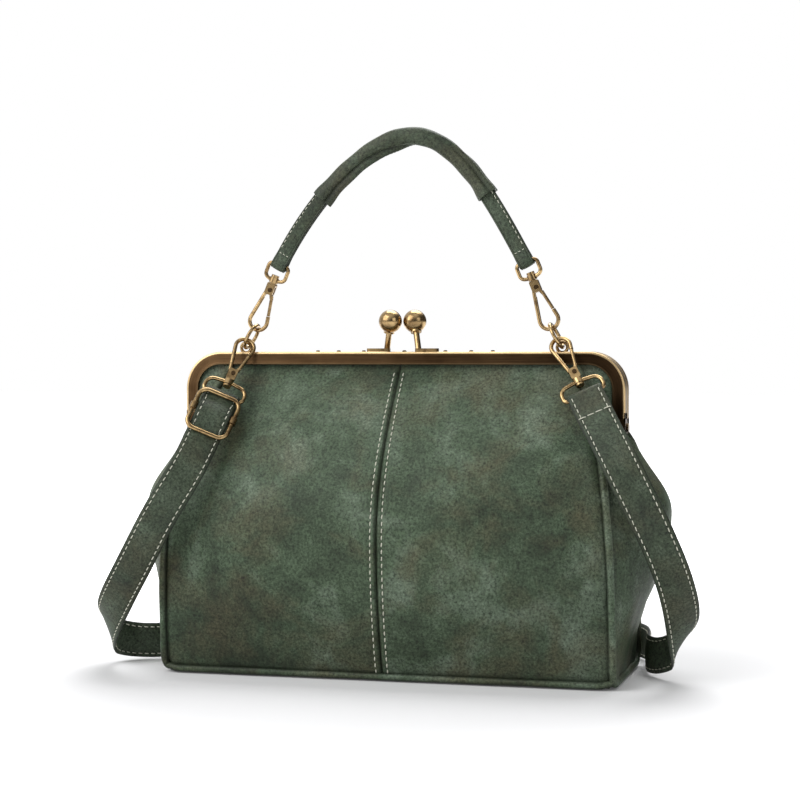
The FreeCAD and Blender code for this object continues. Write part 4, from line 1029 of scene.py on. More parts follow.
@dataclass(frozen=True)
class ShoulderStrap:
    """The long sewn strap with its folded ends and its slider.

    The strap is flat where its ends are stretched and swells beyond that, over a length that loosening gives
    as a factor. wrap_size has the slider wrap's width and thickness as shares of the strap's.
    """

    length: float = 1.340
    width: float = 0.020
    thick: float = 0.0018
    offset: float = 0.0022
    stretch: float = 0.075
    cross_row: float = 0.0145
    slider_place: float = 0.015
    wrap_half: float = 0.0112
    wrap_rise: float = 0.0030
    wrap_gap: float = 0.0002
    wrap_size: Range = (0.97, 0.8)
    swell_taut: float = 0.00008
    swell_loose: float = 0.00055
    loosening: float = 1.6
    cross_lift: float = 0.52
    cross_share: float = 0.96
    resolution: int = 14
    bend_low: float = 0.045
    bend_high: float = 0.108
    ends: tuple[StrapEnd, ...] = (
        StrapEnd(Hand.LEFT, (-0.097555, -0.030555, 0.155216), (0.890672, 0.239884, -0.386211),
                 (0.415327, -0.774867, 0.476534), (-0.184949, -0.584839, -0.789783), 0.0115),
        StrapEnd(Hand.RIGHT, (0.108961, -0.025566, 0.156679), (-0.882605, -0.245077, -0.401180),
                 (0.0, -0.853366, 0.521312), (0.470115, -0.460113, -0.753185), 0.022),
    )
    route: tuple[Point, ...] = (
        (-0.09664, -0.03226, 0.15626), (-0.10108, -0.04630, 0.13731), (-0.10589, -0.06150, 0.11677),
        (-0.12000, -0.07000, 0.09100), (-0.13600, -0.06700, 0.06300), (-0.15200, -0.05500, 0.04200),
        (-0.16500, -0.03800, 0.02600), (-0.16900, -0.01800, 0.01500), (-0.16200, -0.00600, 0.01120),
        (-0.14800, -0.00200, 0.01080), (-0.13800, 0.01000, 0.01080), (-0.13550, 0.03400, 0.01080),
        (-0.13000, 0.05600, 0.01080), (-0.10600, 0.06400, 0.01080), (-0.06200, 0.06200, 0.01080),
        (-0.01400, 0.06500, 0.01080), (0.03400, 0.06200, 0.01080), (0.07600, 0.06400, 0.01080),
        (0.10400, 0.06200, 0.01080), (0.12200, 0.07200, 0.01080), (0.12000, 0.09200, 0.01080),
        (0.10000, 0.09800, 0.01080), (0.06600, 0.09300, 0.01080), (0.02200, 0.09600, 0.01080),
        (-0.02600, 0.09300, 0.01080), (-0.07000, 0.09600, 0.01080), (-0.10200, 0.09400, 0.01080),
        (-0.12000, 0.10400, 0.01080), (-0.11800, 0.12400, 0.01080), (-0.09800, 0.13000, 0.01080),
        (-0.06400, 0.12600, 0.01080), (-0.01800, 0.12900, 0.01080), (0.03000, 0.12600, 0.01080),
        (0.07200, 0.12800, 0.01080), (0.10200, 0.12000, 0.01080), (0.11300, 0.09800, 0.01080),
        (0.12000, 0.07700, 0.01080), (0.13100, 0.06000, 0.01080), (0.13500, 0.04000, 0.01080),
        (0.13600, 0.01800, 0.01100), (0.14500, 0.00500, 0.01150), (0.15700, -0.00400, 0.01800),
        (0.16200, -0.02200, 0.03400), (0.16000, -0.04000, 0.05700), (0.15150, -0.05200, 0.08300),
        (0.13341, -0.05137, 0.11866), (0.12118, -0.03941, 0.13824), (0.10896, -0.02744, 0.15783),
    )
    # The way that the strap's width points where it doesn't stand on edge, counted from each end.
    left_widths: tuple[Point, ...] = (
        (0.8907, 0.2399, -0.3862), (0.8907, 0.2399, -0.3862), (0.8907, 0.2399, -0.3862),
        (0.85, 0.10, -0.52), (0.78, 0.25, -0.57), (0.65, 0.32, -0.69), (0.40, 0.25, -0.88), (0.12, 0.10, -0.99),
    )
    right_widths: tuple[Point, ...] = (
        (-0.05, 0.0, -1.0), (-0.25, 0.05, -0.97), (-0.50, 0.12, -0.86), (-0.62, 0.22, -0.75),
        (-0.70, 0.22, -0.68), (-0.76, 0.10, -0.64),
        (-0.8826, -0.2451, -0.4012), (-0.8826, -0.2451, -0.4012), (-0.8826, -0.2451, -0.4012),
    )
    on_edge: Point = (0.0, 0.0, -1.0)
    sewing: Stitching = field(default_factory=Stitching)
    cross_sewing: Stitching = field(default_factory=lambda: Stitching(0.0044, 0.0003, 0.00034))

    @property
    def ribbon(self) -> Ribbon:
        """The strap's own section."""
        return Ribbon(self.width, self.thick)

    def lines(self) -> tuple[np.ndarray, np.ndarray]:
        """The strap's middle line and the way that its width points.

        Returns:
            Points read from the route's spline, and a direction for each.
        """
        standing = len(self.route) - len(self.left_widths) - len(self.right_widths)
        widths = self.left_widths + (self.on_edge,) * standing + self.right_widths
        middle = spline_points(self.route, self.resolution)
        rim = spline_points([tuple(np.array(p) + np.array(w) * self.width / 2)
                             for p, w in zip(self.route, widths)], self.resolution)
        return middle, unit(rim - middle)

    def fold_line(self, end: StrapEnd) -> tuple[np.ndarray, np.ndarray]:
        """The line of a folded end: over the loop's bar and down behind the strap.

        Args:
            end: The end's place and directions.

        Returns:
            Points of the line, and the way that its width points at each.
        """
        bar, front, down = (np.array(v) for v in (end.bar, end.front, end.down))
        angles = np.linspace(0.0, math.pi, 17)[:, None]
        wrap = bar + (front * np.cos(angles) - down * np.sin(angles)) * self.offset
        back = bar - front * self.offset + down * np.linspace(0.0, end.fold, 9)[1:, None]
        line = np.concatenate([wrap, back])
        return line, np.broadcast_to(np.array(end.wide), line.shape)

    def build(self, nodes: dict[str, bpy.types.Object]) -> None:
        """Args:
            nodes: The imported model's nodes.
        """
        line, wide = self.lines()
        places = run_length(line)
        taut = np.minimum(places, places[-1] - places)
        swell = self.swell_taut + self.swell_loose * ease(taut, self.stretch, self.loosening * self.stretch)
        strap = self.ribbon.make(line, wide, swell).piece("shoulder_strap_leather", STRAP_LEATHER, Slot.LEATHER)
        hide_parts("shoulder_strap")
        rows = [self.ribbon.seam(line, wide, edge, face, self.sewing) for edge in (-1, 1) for face in (-1, 1)]
        rows += [self.cross_stitches(end) for end in self.ends if end.hand is Hand.RIGHT]
        thread = joined(rows).piece("shoulder_strap_sewing", THREAD, Slot.LEATHER)
        for thing in (strap, thread):
            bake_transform(thing)
        others = [thread] + self.slider_wrap(self.ends[0])
        for end in self.ends:
            others.append(self.folded(end))
        others += [nodes["slider_frame"], nodes["slider_bar"]]

    def folded(self, end: StrapEnd) -> bpy.types.Object:
        """Make one folded end.

        Args:
            end: The end's place and directions.

        Returns:
            The piece, riding on its strap set.
        """
        line, wide = self.fold_line(end)
        ribbon = Ribbon(self.width, self.thick, 0.0)
        piece = ribbon.make(line, wide).piece(f"{end.hand.word}_strap_fold", STRAP_LEATHER, Slot.LEATHER)
        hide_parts(f"{end.hand.word}_strap_end")
        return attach(piece, f"{end.hand.word}_strap_set")

    def slider_wrap(self, end: StrapEnd) -> list[bpy.types.Object]:
        """Make the layer that bulges over the slider's bar, with its sewing.

        Args:
            end: The end that the slider is on.

        Returns:
            The leather and its sewing, riding on the slider.
        """
        bar, front, down = (np.array(v) for v in (end.bar, end.front, end.down))
        off = np.linspace(-self.wrap_half, self.wrap_half, 31)[:, None]
        rise = self.offset + self.wrap_gap + self.wrap_rise * np.cos(off / self.wrap_half * math.pi / 2) ** 1.5
        line = bar + down * (self.slider_place + off) + front * rise
        wide = np.broadcast_to(np.array(end.wide), line.shape)
        ribbon = Ribbon(self.wrap_size[0] * self.width, self.wrap_size[1] * self.thick)
        face = int(np.sign(np.cross(along(line), wide)[len(line) // 2] @ front))
        rows = [ribbon.seam(line[2:-2], wide[2:-2], edge, face, self.sewing) for edge in (-1, 1)]
        leather = ribbon.make(line, wide).piece("slider_wrap_leather", STRAP_LEATHER, Slot.LEATHER)
        sewing = joined(rows).piece("slider_wrap_sewing", THREAD, Slot.LEATHER)
        return [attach(thing, "slider") for thing in (leather, sewing)]

    def cross_stitches(self, end: StrapEnd) -> Draft:
        """The row of sewing across the strap that holds its fold.

        Args:
            end: The end's place and directions.

        Returns:
            The stitches.
        """
        bar, wide, front, down = (np.array(v) for v in (end.bar, end.wide, end.front, end.down))
        start = bar + down * self.cross_row + front * (self.offset + self.cross_lift * self.thick)
        shares = np.linspace(-0.5, 0.5, 9)[:, None] * self.width * self.cross_share
        line = start + wide * shares
        return self.cross_sewing.run(line, np.broadcast_to(front, line.shape))


@dataclass(frozen=True)
class BagForm:
    """The leather body's sizes, and its outline at any height."""

    base_half: float = 0.127
    top_half: float = 0.096
    top: float = 0.180
    shoulder_power: float = 3.6
    base_depth: float = 0.044
    bulge: float = 0.0575
    bulge_edge: float = 0.049
    bulge_height: float = 0.078
    mouth: float = 0.1716
    mouth_depth: float = 0.0048
    ear: float = 0.152
    ear_height: float = 0.092
    hinge: float = 0.138
    hinge_reach: float = 0.1312
    frame_half: float = 0.128
    frame_corner: float = 0.021
    frame_face: float = 0.0074
    piping_radius: float = 0.0021
    piping_low: float = 0.0024
    piping_corner: float = 0.010

    @property
    def corner_start(self) -> float:
        """Height at which the piping's corner at the base starts."""
        return self.piping_low + self.piping_corner

    def half_width(self, z: np.ndarray) -> np.ndarray:
        """Half width of the front and back panels."""
        return self.base_half - (self.base_half - self.top_half) * (z / self.top) ** self.shoulder_power

    def depth(self, z: np.ndarray, bulge: float) -> np.ndarray:
        """Half depth of the body.

        Args:
            z: Heights.
            bulge: Half depth where the body is deepest.

        Returns:
            The half depth at each height.
        """
        low = bulge - (bulge - self.base_depth) * ((self.bulge_height - z) / self.bulge_height) ** 2
        share = np.clip((z - self.bulge_height) / (self.mouth - self.bulge_height), 0.0, 1.0)
        high = self.mouth_depth + (bulge - self.mouth_depth) * np.cos(math.pi / 2 * share)
        return np.where(z < self.bulge_height, low, high)

    def edge_depth(self, z: np.ndarray) -> np.ndarray:
        """Half depth at the piping, corners left out."""
        return self.depth(z, self.bulge_edge)

    def piping_depth(self, z: np.ndarray) -> np.ndarray:
        """Half depth of the piping's line, with its round corner at the base.

        Args:
            z: Heights.

        Returns:
            The half depth at each height.
        """
        start = self.corner_start
        drop = np.clip(start - z, 0.0, self.piping_corner)
        round_corner = (self.edge_depth(np.asarray(start)) - self.piping_corner
                        + np.sqrt(self.piping_corner ** 2 - drop ** 2))
        return np.where(z < start, round_corner, self.edge_depth(z))

    def reach(self, z: np.ndarray) -> np.ndarray:
        """Half width across the gussets' ears.

        Args:
            z: Heights.

        Returns:
            The half width at each height.
        """
        low = self.base_half + (self.ear - self.base_half) * (1 - np.cos(math.pi * z / self.ear_height)) / 2
        share = np.clip((z - self.ear_height) / (self.hinge - self.ear_height), 0.0, 1.0)
        high = self.ear - (self.ear - self.hinge_reach) * (1 - np.cos(math.pi * share)) / 2
        return np.where(z < self.ear_height, low, high)

    def arm(self, z: np.ndarray, band: float) -> np.ndarray:
        """Half width of the frame's arm, a given band inside its outer edge."""
        rise = np.clip(z - (self.top - self.frame_corner), 0.0, self.frame_corner - band)
        return self.frame_half - self.frame_corner + np.sqrt((self.frame_corner - band) ** 2 - rise ** 2)


@dataclass(frozen=True)
class Body:
    """The leather body: panels, gussets, piping, base, lining and seam sewing.

    near_frame is the range of heights in which a panel's or a gusset's relief dies out below the frame.
    The shade span is how squarely a side of the piping faces a hidden way where its painted shade starts and ends.
    The names with bottom and turn belong to the piping along the base, whose ends turn inward and up.
    """

    form: BagForm = field(default_factory=BagForm)
    sewing: Stitching = field(default_factory=lambda: Stitching(0.0027, 0.0010, 0.00034))
    panel_thick: float = 0.0018
    gusset_thick: float = 0.0014
    lining_thick: float = 0.0006
    seam_place: float = 0.0033
    bend_low: float = 0.124
    bend_high: float = 0.150
    near_frame: Range = (0.150, 0.166)
    broad_dent: float = 0.0011
    fine_dent: float = 0.00032
    pull_dent: float = 0.0016
    seam_ridges: tuple[Ridge, ...] = (Ridge(-0.0013, 0.0, 0.0009), Ridge(0.00045, 0.0019, 0.0011))
    stitch_groove: float = 0.00035
    stitch_groove_width: float = 0.0006
    edge_groove: Ridge = Ridge(-0.0015, 0.0, 0.0026)
    edge_ridge: Ridge = Ridge(0.0004, 0.0062, 0.0030)
    base_groove: Ridge = Ridge(-0.0013, 0.0024, 0.0026)
    gather_depth: float = 0.00055
    gather_pitch: float = 0.019
    gusset_groove: Ridge = Ridge(-0.0013, 0.0, 0.0026)
    gusset_dents: tuple[Dent, ...] = (Dent(-0.0042, (0.52, 0.20), (0.119, 0.020)),
                                      Dent(0.0012, (0.55, 0.30), (0.070, 0.030)))
    gusset_ripple: float = 0.0007
    gusset_crease: float = 0.0016
    arm_inset: float = 0.0016
    arm_depth: float = 0.0050
    parting: float = 0.0054
    piping_sides: int = 16
    piping_top: float = 0.1712
    hidden_span: Range = (0.42, 0.92)
    # The base piping gets painted shade in the crease along its top and a painted shadow along its underside.
    bottom_hidden: tuple[Point, ...] = ((0.0, 0.0, 1.0), (0.0, 0.0, -1.7))
    bottom_reach: float = 0.1262
    bottom_turn: Range = (0.119, 0.1268)
    turn_inward: float = 0.0020
    turn_upward: float = 0.0014
    base_size: Range = (0.1246, 0.0416)
    base_turn: float = 0.0007
    lining_gap: float = 0.0036
    lining_edge: float = 0.0034
    lining_inset: float = 0.0044
    lining_rise: float = 0.0020
    lining_fold: float = 0.0007
    lining_floor: Point = (0.121, 0.0365, 0.0046)

    def follow(self, piece: bpy.types.Object) -> bpy.types.Object:
        """Bake a soft piece's placement into its mesh."""
        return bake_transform(piece)

    def panel_grid(self) -> tuple[np.ndarray, np.ndarray]:
        """Shares of the half width and heights at which a panel has its points.

        Returns:
            The shares, closer at the seam and the piping, and the heights, closer at both ends.
        """
        half = self.form.base_half
        seam = [0.00012, 0.0005, 0.0010, 0.0016, 0.0022, 0.0028, 0.0033, 0.0038, 0.0046, 0.0062]
        edge = [0.0085, 0.0065, 0.0050, 0.0038, 0.0028, 0.0019, 0.0010, 0.0]
        across = np.concatenate([seam, np.linspace(0.0095, half - 0.011, 26), half - np.array(edge)]) / half
        low = [0.0024, 0.0031, 0.0039, 0.0049, 0.0062, 0.0080, 0.0104]
        high = [0.1625, 0.1648, 0.1668, 0.1686, 0.1702, 0.1716, 0.1732, 0.1755, 0.1776]
        return across, np.concatenate([low, np.linspace(0.0135, 0.160, 50), high])

    def soft_dents(self, x: np.ndarray, z: np.ndarray, side: Side) -> np.ndarray:
        """Gentle hollows and swellings of a panel.

        Args:
            x: Place across the bag.
            z: Height.
            side: Which panel.

        Returns:
            How far the leather stands out, in metres.
        """
        shift = 0.9 if side is Side.FRONT else 2.6
        broad = np.sin(38 * x + 11 * z + shift) * np.sin(31 * z - 9 * x + 1.9 * shift)
        fine = np.sin(83 * x - 35 * z + 2 * shift) * np.sin(64 * z + 17 * x + shift)
        pull = hump(np.abs(x), 0.075, 0.022) * hump(z, 0.150, 0.014)
        return self.broad_dent * broad + self.fine_dent * fine - self.pull_dent * pull

    def panel_surface(self, side: Side, hand: Hand) -> tuple[np.ndarray, np.ndarray]:
        """The outer side of one half of a panel.

        Args:
            side: Front or back.
            hand: Left or right half.

        Returns:
            Rows of points from the base up, and the painted shade of each.
        """
        form = self.form
        shares, heights = self.panel_grid()
        z, share = np.meshgrid(heights, shares, indexing="ij")
        half = form.half_width(z)
        x = share * half
        edge_gap = half - x
        depth = form.edge_depth(z) + (form.depth(z, form.bulge) - form.edge_depth(z)) * (1 - share ** 2)
        depth -= (form.edge_depth(z) - form.piping_depth(z)) * share ** 36
        inside = (ease(x, 0.004, 0.022) * ease(edge_gap, 0.004, 0.024) * ease(z, 0.008, 0.034)
                  * fall(z, 0.156, 0.170))
        depth += inside * self.soft_dents(hand.value * x, z, side)
        seam = relief(self.seam_ridges, x) - self.stitch_groove * hump(x, self.seam_place, self.stitch_groove_width)
        depth += seam * fall(z, 0.169, 0.1725)
        depth += self.edge_groove.at(edge_gap) * fall(z, 0.166, 0.171)
        depth += self.edge_ridge.at(edge_gap) * fall(z, *self.near_frame)
        depth += self.base_groove.at(z)
        gather = 0.5 + 0.5 * np.sin(2 * math.pi * x / self.gather_pitch + 2.0 * np.sin(71 * x))
        depth -= self.gather_depth * gather * hump(z, 0.1655, 0.0050) * ease(x, 0.006, 0.02)
        # Painted shade, carried in the wear value: darker in the centre seam's groove, in the groove beside the
        # piping, in the groove above the base and where the leather goes under the frame. It is broadly darker near
        # the piping and towards the base, and at the lower outer part of the right half, where the light from the left
        # falls off.
        wear = np.maximum.reduce([0.85 * hump(x, 0.0, 0.0011), hump(edge_gap, 0.0, 0.0034),
                                  hump(z, 0.0030, 0.0034), 0.55 * ease(z, 0.166, 0.173),
                                  0.28 * hump(edge_gap, 0.0, 0.014), 0.30 * fall(z, 0.0, 0.075),
                                  0.32 * ease(hand.value * x, 0.03, 0.11) * fall(z, 0.03, 0.14)])
        return np.stack([hand.value * x, side.value * depth, z], axis=-1), wear

    def panels(self) -> None:
        """Make the four panel halves and the sewing beside the centre seams."""
        for side in Side:
            rows = []
            for hand in Hand:
                surface, wear = self.panel_surface(side, hand)
                name = f"{side.word}_panel_{hand.word}"
                piece = sheet(surface, self.panel_thick, (0.0, side.value, 0.0), wear)
                thing = piece.piece(name + "_leather", LEATHER, Slot.LEATHER)
                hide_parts(name, name + "_top")
                self.follow(thing)
                rows.append(self.seam_stitches(surface, side))
            self.follow(joined(rows).piece(f"{side.word}_seam_sewing", THREAD, Slot.LEATHER))

    def seam_stitches(self, surface: np.ndarray, side: Side) -> Draft:
        """The row of stitches beside the centre seam.

        Args:
            surface: The panel's outer points.
            side: Front or back.

        Returns:
            The stitches.
        """
        column = int(np.argmin(np.abs(np.abs(surface[20, :, 0]) - self.seam_place)))
        line = surface[2:-5, column]
        way = along(line)
        normal = np.cross(way, (1.0, 0.0, 0.0))
        normal *= np.sign((normal[:, 1] * side.value).mean())
        return self.sewing.run(line, normal)

    def gusset_surface(self, side: Side, hand: Hand, inset: float = 0.0, coarse: bool = False) -> np.ndarray:
        """The outer side of the front or back half of a gusset.

        Args:
            side: Front or back half.
            hand: Left or right gusset.
            inset: How far inside the leather's outer side.
            coarse: Whether a plainer grid will do.

        Returns:
            Rows of points from the base up, from the piping to the middle.
        """
        form = self.form
        bend = form.corner_start - form.piping_corner * np.cos(np.linspace(0.02, math.pi / 2, 5 if coarse else 11))
        heights = np.concatenate([bend, np.linspace(0.0150, 0.1725, 30 if coarse else 62), [0.1745, 0.1760]])
        z, share = np.meshgrid(heights, np.linspace(0.0, 1.0, 13 if coarse else 34), indexing="ij")
        inner_arm = form.arm(z, form.frame_face)
        mid_arm = form.arm(z, form.frame_face / 2)
        start = np.stack([form.half_width(z), form.piping_depth(z)], axis=-1)
        lower = np.stack([form.reach(z), form.piping_depth(z) / 2], axis=-1)
        upper = np.stack([inner_arm - self.arm_inset, np.full_like(z, self.arm_depth)], axis=-1)
        turn = ease(z, 0.122, 0.147)[..., None]
        middle = lower * (1 - turn) + upper * turn
        leave = ease(z, 0.128, 0.145)
        parting = self.parting * ease(z, 0.1265, 0.1335)
        end = np.stack([form.reach(z) * (1 - leave) + mid_arm * leave, parting], axis=-1)
        s = share[..., None]
        flat = (1 - s) ** 2 * start + 2 * s * (1 - s) * middle + s ** 2 * end
        reach = np.linalg.norm(end - start, axis=-1)
        out = self.gusset_groove.at(share * reach) * fall(z, *self.near_frame)
        for dent in self.gusset_dents:
            out += dent.at(share, z)
        out += (self.gusset_ripple * np.sin(95 * z + 3.0 * share) * np.sin(7.0 * share + 40 * z)
                * ease(share, 0.05, 0.3) * fall(share, 0.75, 1.0) * fall(z, *self.near_frame))
        crease = hump(share, 0.30 + 2.0 * (z - 0.150), 0.12)
        out -= self.gusset_crease * crease * hump(z, 0.152, 0.012)
        out -= inset
        facing = ease(z, 0.130, 0.150)
        x = flat[..., 0] + out * (1 - facing)
        y = flat[..., 1] + out * facing
        if inset:
            x -= 0.6 * inset * facing
            y = np.maximum(y - 0.5 * inset * (1 - share) * (1 - facing), 0.0)
        return np.stack([hand.value * x, side.value * y, z], axis=-1)

    def gussets(self) -> None:
        """Make both gussets, each as a front and a back half."""
        for hand in Hand:
            for side in Side:
                surface = self.gusset_surface(side, hand)
                rows, columns = surface.shape[:2]
                z = surface[..., 2]
                share = np.broadcast_to(np.linspace(0.0, 1.0, columns), (rows, columns))
                # Painted shade, carried in the wear value: darker in the groove beside the piping, just above the
                # base, in the upper middle below the frame's arm, and in the hollow of the upper dent.
                wear = np.maximum.reduce([0.75 * hump(share, 0.0, 0.09), 0.6 * hump(z, 0.0024, 0.004),
                                          0.35 * ease(z, 0.128, 0.140) * hump(share, 1.0, 0.5),
                                          0.35 * hump(share, 0.52, 0.2) * hump(z, 0.119, 0.02)])
                draft = sheet(surface, self.gusset_thick, (hand.value, 0.0, 0.0), wear)
                thing = draft.piece(f"{hand.word}_gusset_{side.word}", LEATHER, Slot.LEATHER)
                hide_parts(f"{hand.word}_gusset")
                self.follow(thing)

    def piping_draft(self, line: np.ndarray, radius: np.ndarray, reference: Point, hidden: Sequence[Point]) -> Draft:
        """Piping with painted shade on the sides that its neighbours hide.

        Args:
            line: Points of the piping's middle.
            radius: Radius at each point.
            reference: A direction that the line never runs along.
            hidden: The ways that the hidden sides face.

        Returns:
            The piping.
        """
        sides = self.piping_sides
        draft = tube(line, radius, reference, sides)
        facing = (draft.points - np.repeat(line, sides, axis=0)) / np.repeat(radius, sides)[:, None]
        # Painted shade on the sides that face the hidden ways.
        draft.wear = np.max([ease(facing @ np.array(way), *self.hidden_span) for way in hidden], axis=0)
        return draft

    def side_piping(self) -> None:
        """Make the piping round the gussets."""
        form = self.form
        for hand in Hand:
            for side in Side:
                z = np.linspace(self.piping_top, form.corner_start, 70)
                upright = np.stack([form.half_width(z), form.edge_depth(z), z], axis=-1)
                angle = np.linspace(0.0, math.pi / 2, 13)[1:]
                width = np.full(len(angle), form.half_width(np.asarray(form.piping_low)))
                start = form.edge_depth(np.asarray(form.corner_start))
                corner = np.stack([width, start - form.piping_corner * (1 - np.cos(angle)),
                                   form.corner_start - form.piping_corner * np.sin(angle)], axis=-1)
                depth = np.linspace(corner[-1, 1], 0.0, 14)[1:]
                base = np.stack([np.full(len(depth), width[0]), depth, np.full(len(depth), form.piping_low)], axis=-1)
                line = np.concatenate([upright, corner, base]) * np.array([hand.value, side.value, 1.0])
                place = run_length(line)
                lumps = 0.035 * np.sin(190 * place) + 0.03 * np.sin(77 * place + hand.value)
                radius = form.piping_radius * (1 + lumps)
                hidden = ((-hand.value, 0.0, 0.0), (0.0, -side.value, 0.0))
                thing = self.piping_draft(line, radius, (1.0, 0.0, 0.0), hidden).piece(
                    f"{hand.word}_piping_{side.word}", LEATHER, Slot.LEATHER)
                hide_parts(f"{hand.word}_piping")
                self.follow(thing)

    def bottom_piping(self) -> None:
        """Make the piping along the front and the back of the base."""
        form = self.form
        for side in Side:
            x = np.linspace(-self.bottom_reach, self.bottom_reach, 90)
            turn = ease(np.abs(x), *self.bottom_turn)
            line = np.stack([x, side.value * (form.base_depth - self.turn_inward * turn),
                             form.piping_low + self.turn_upward * turn], axis=-1)
            radius = form.piping_radius * (1 + 0.03 * np.sin(140 * x) + 0.03 * np.sin(61 * x))
            thing = self.piping_draft(line, radius, (0.0, 0.0, 1.0), self.bottom_hidden).piece(
                f"{side.word}_bottom_piping_leather", LEATHER, Slot.LEATHER)
            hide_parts(f"{side.word}_bottom_piping")
            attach(thing, "bag")

    def base(self) -> None:
        """Make the bottom panel, turned up a little at its edges."""
        half, deep_half = self.base_size
        across, deep = np.meshgrid(np.linspace(-half, half, 60), np.linspace(-deep_half, deep_half, 26), indexing="ij")
        gap = np.minimum(half - np.abs(across), deep_half - np.abs(deep))
        outer = np.stack([across, deep, self.base_turn * fall(gap, 0.0, 0.003)], axis=-1)
        draft = sheet(outer, self.panel_thick, (0.0, 0.0, -1.0), 0.6 * fall(gap, 0.0, 0.008))
        thing = draft.piece("bottom_panel_leather", LEATHER, Slot.LEATHER)
        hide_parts("bottom_panel")
        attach(thing, "bag")

    def lining(self) -> None:
        """Make the cloth lining inside the panels, the gussets and the base."""
        form = self.form
        heights = np.concatenate([np.linspace(0.0056, 0.165, 40), [0.168, 0.1705, 0.1725, 0.1755]])
        for side in Side:
            z, share = np.meshgrid(heights, np.linspace(-1.0, 1.0, 41), indexing="ij")
            half = form.half_width(z) - self.lining_edge
            depth = form.edge_depth(z) + (form.depth(z, form.bulge) - form.edge_depth(z)) * (1 - share ** 2)
            depth -= (form.edge_depth(z) - form.piping_depth(z)) * np.abs(share) ** 24
            inset = self.lining_inset - self.lining_rise * ease(z, 0.160, 0.171)
            fold = self.lining_fold * np.sin(60 * share + 25 * z) * hump(z, 0.10, 0.05)
            grid = np.stack([share * half, side.value * (depth - inset - np.abs(fold)), z], axis=-1)
            thing = sheet(grid, self.lining_thick, (0.0, side.value, 0.0)).piece(
                f"{side.word}_lining", CLOTH, Slot.LINING)
            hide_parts("lining")
            self.follow(thing)
            for hand in Hand:
                grid = self.gusset_surface(side, hand, self.lining_gap, True)[2:-3]
                thing = sheet(grid, self.lining_thick, (hand.value, 0.0, 0.0)).piece(
                    f"{hand.word}_{side.word}_side_lining", CLOTH, Slot.LINING)
                self.follow(thing)
        half, deep_half, level = self.lining_floor
        x, y = np.meshgrid(np.linspace(-half, half, 40), np.linspace(-deep_half, deep_half, 16), indexing="ij")
        floor = np.stack([x, y, level + 0.0004 * np.sin(70 * x + 40 * y)], axis=-1)
        thing = sheet(floor, self.lining_thick, (0.0, 0.0, 1.0)).piece("base_lining", CLOTH, Slot.LINING)
        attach(thing, "bag")

    def build(self) -> None:
        """Make every piece of the body."""
        self.panels()
        self.gussets()
        self.side_piping()
        self.bottom_piping()
        self.base()
        self.lining()


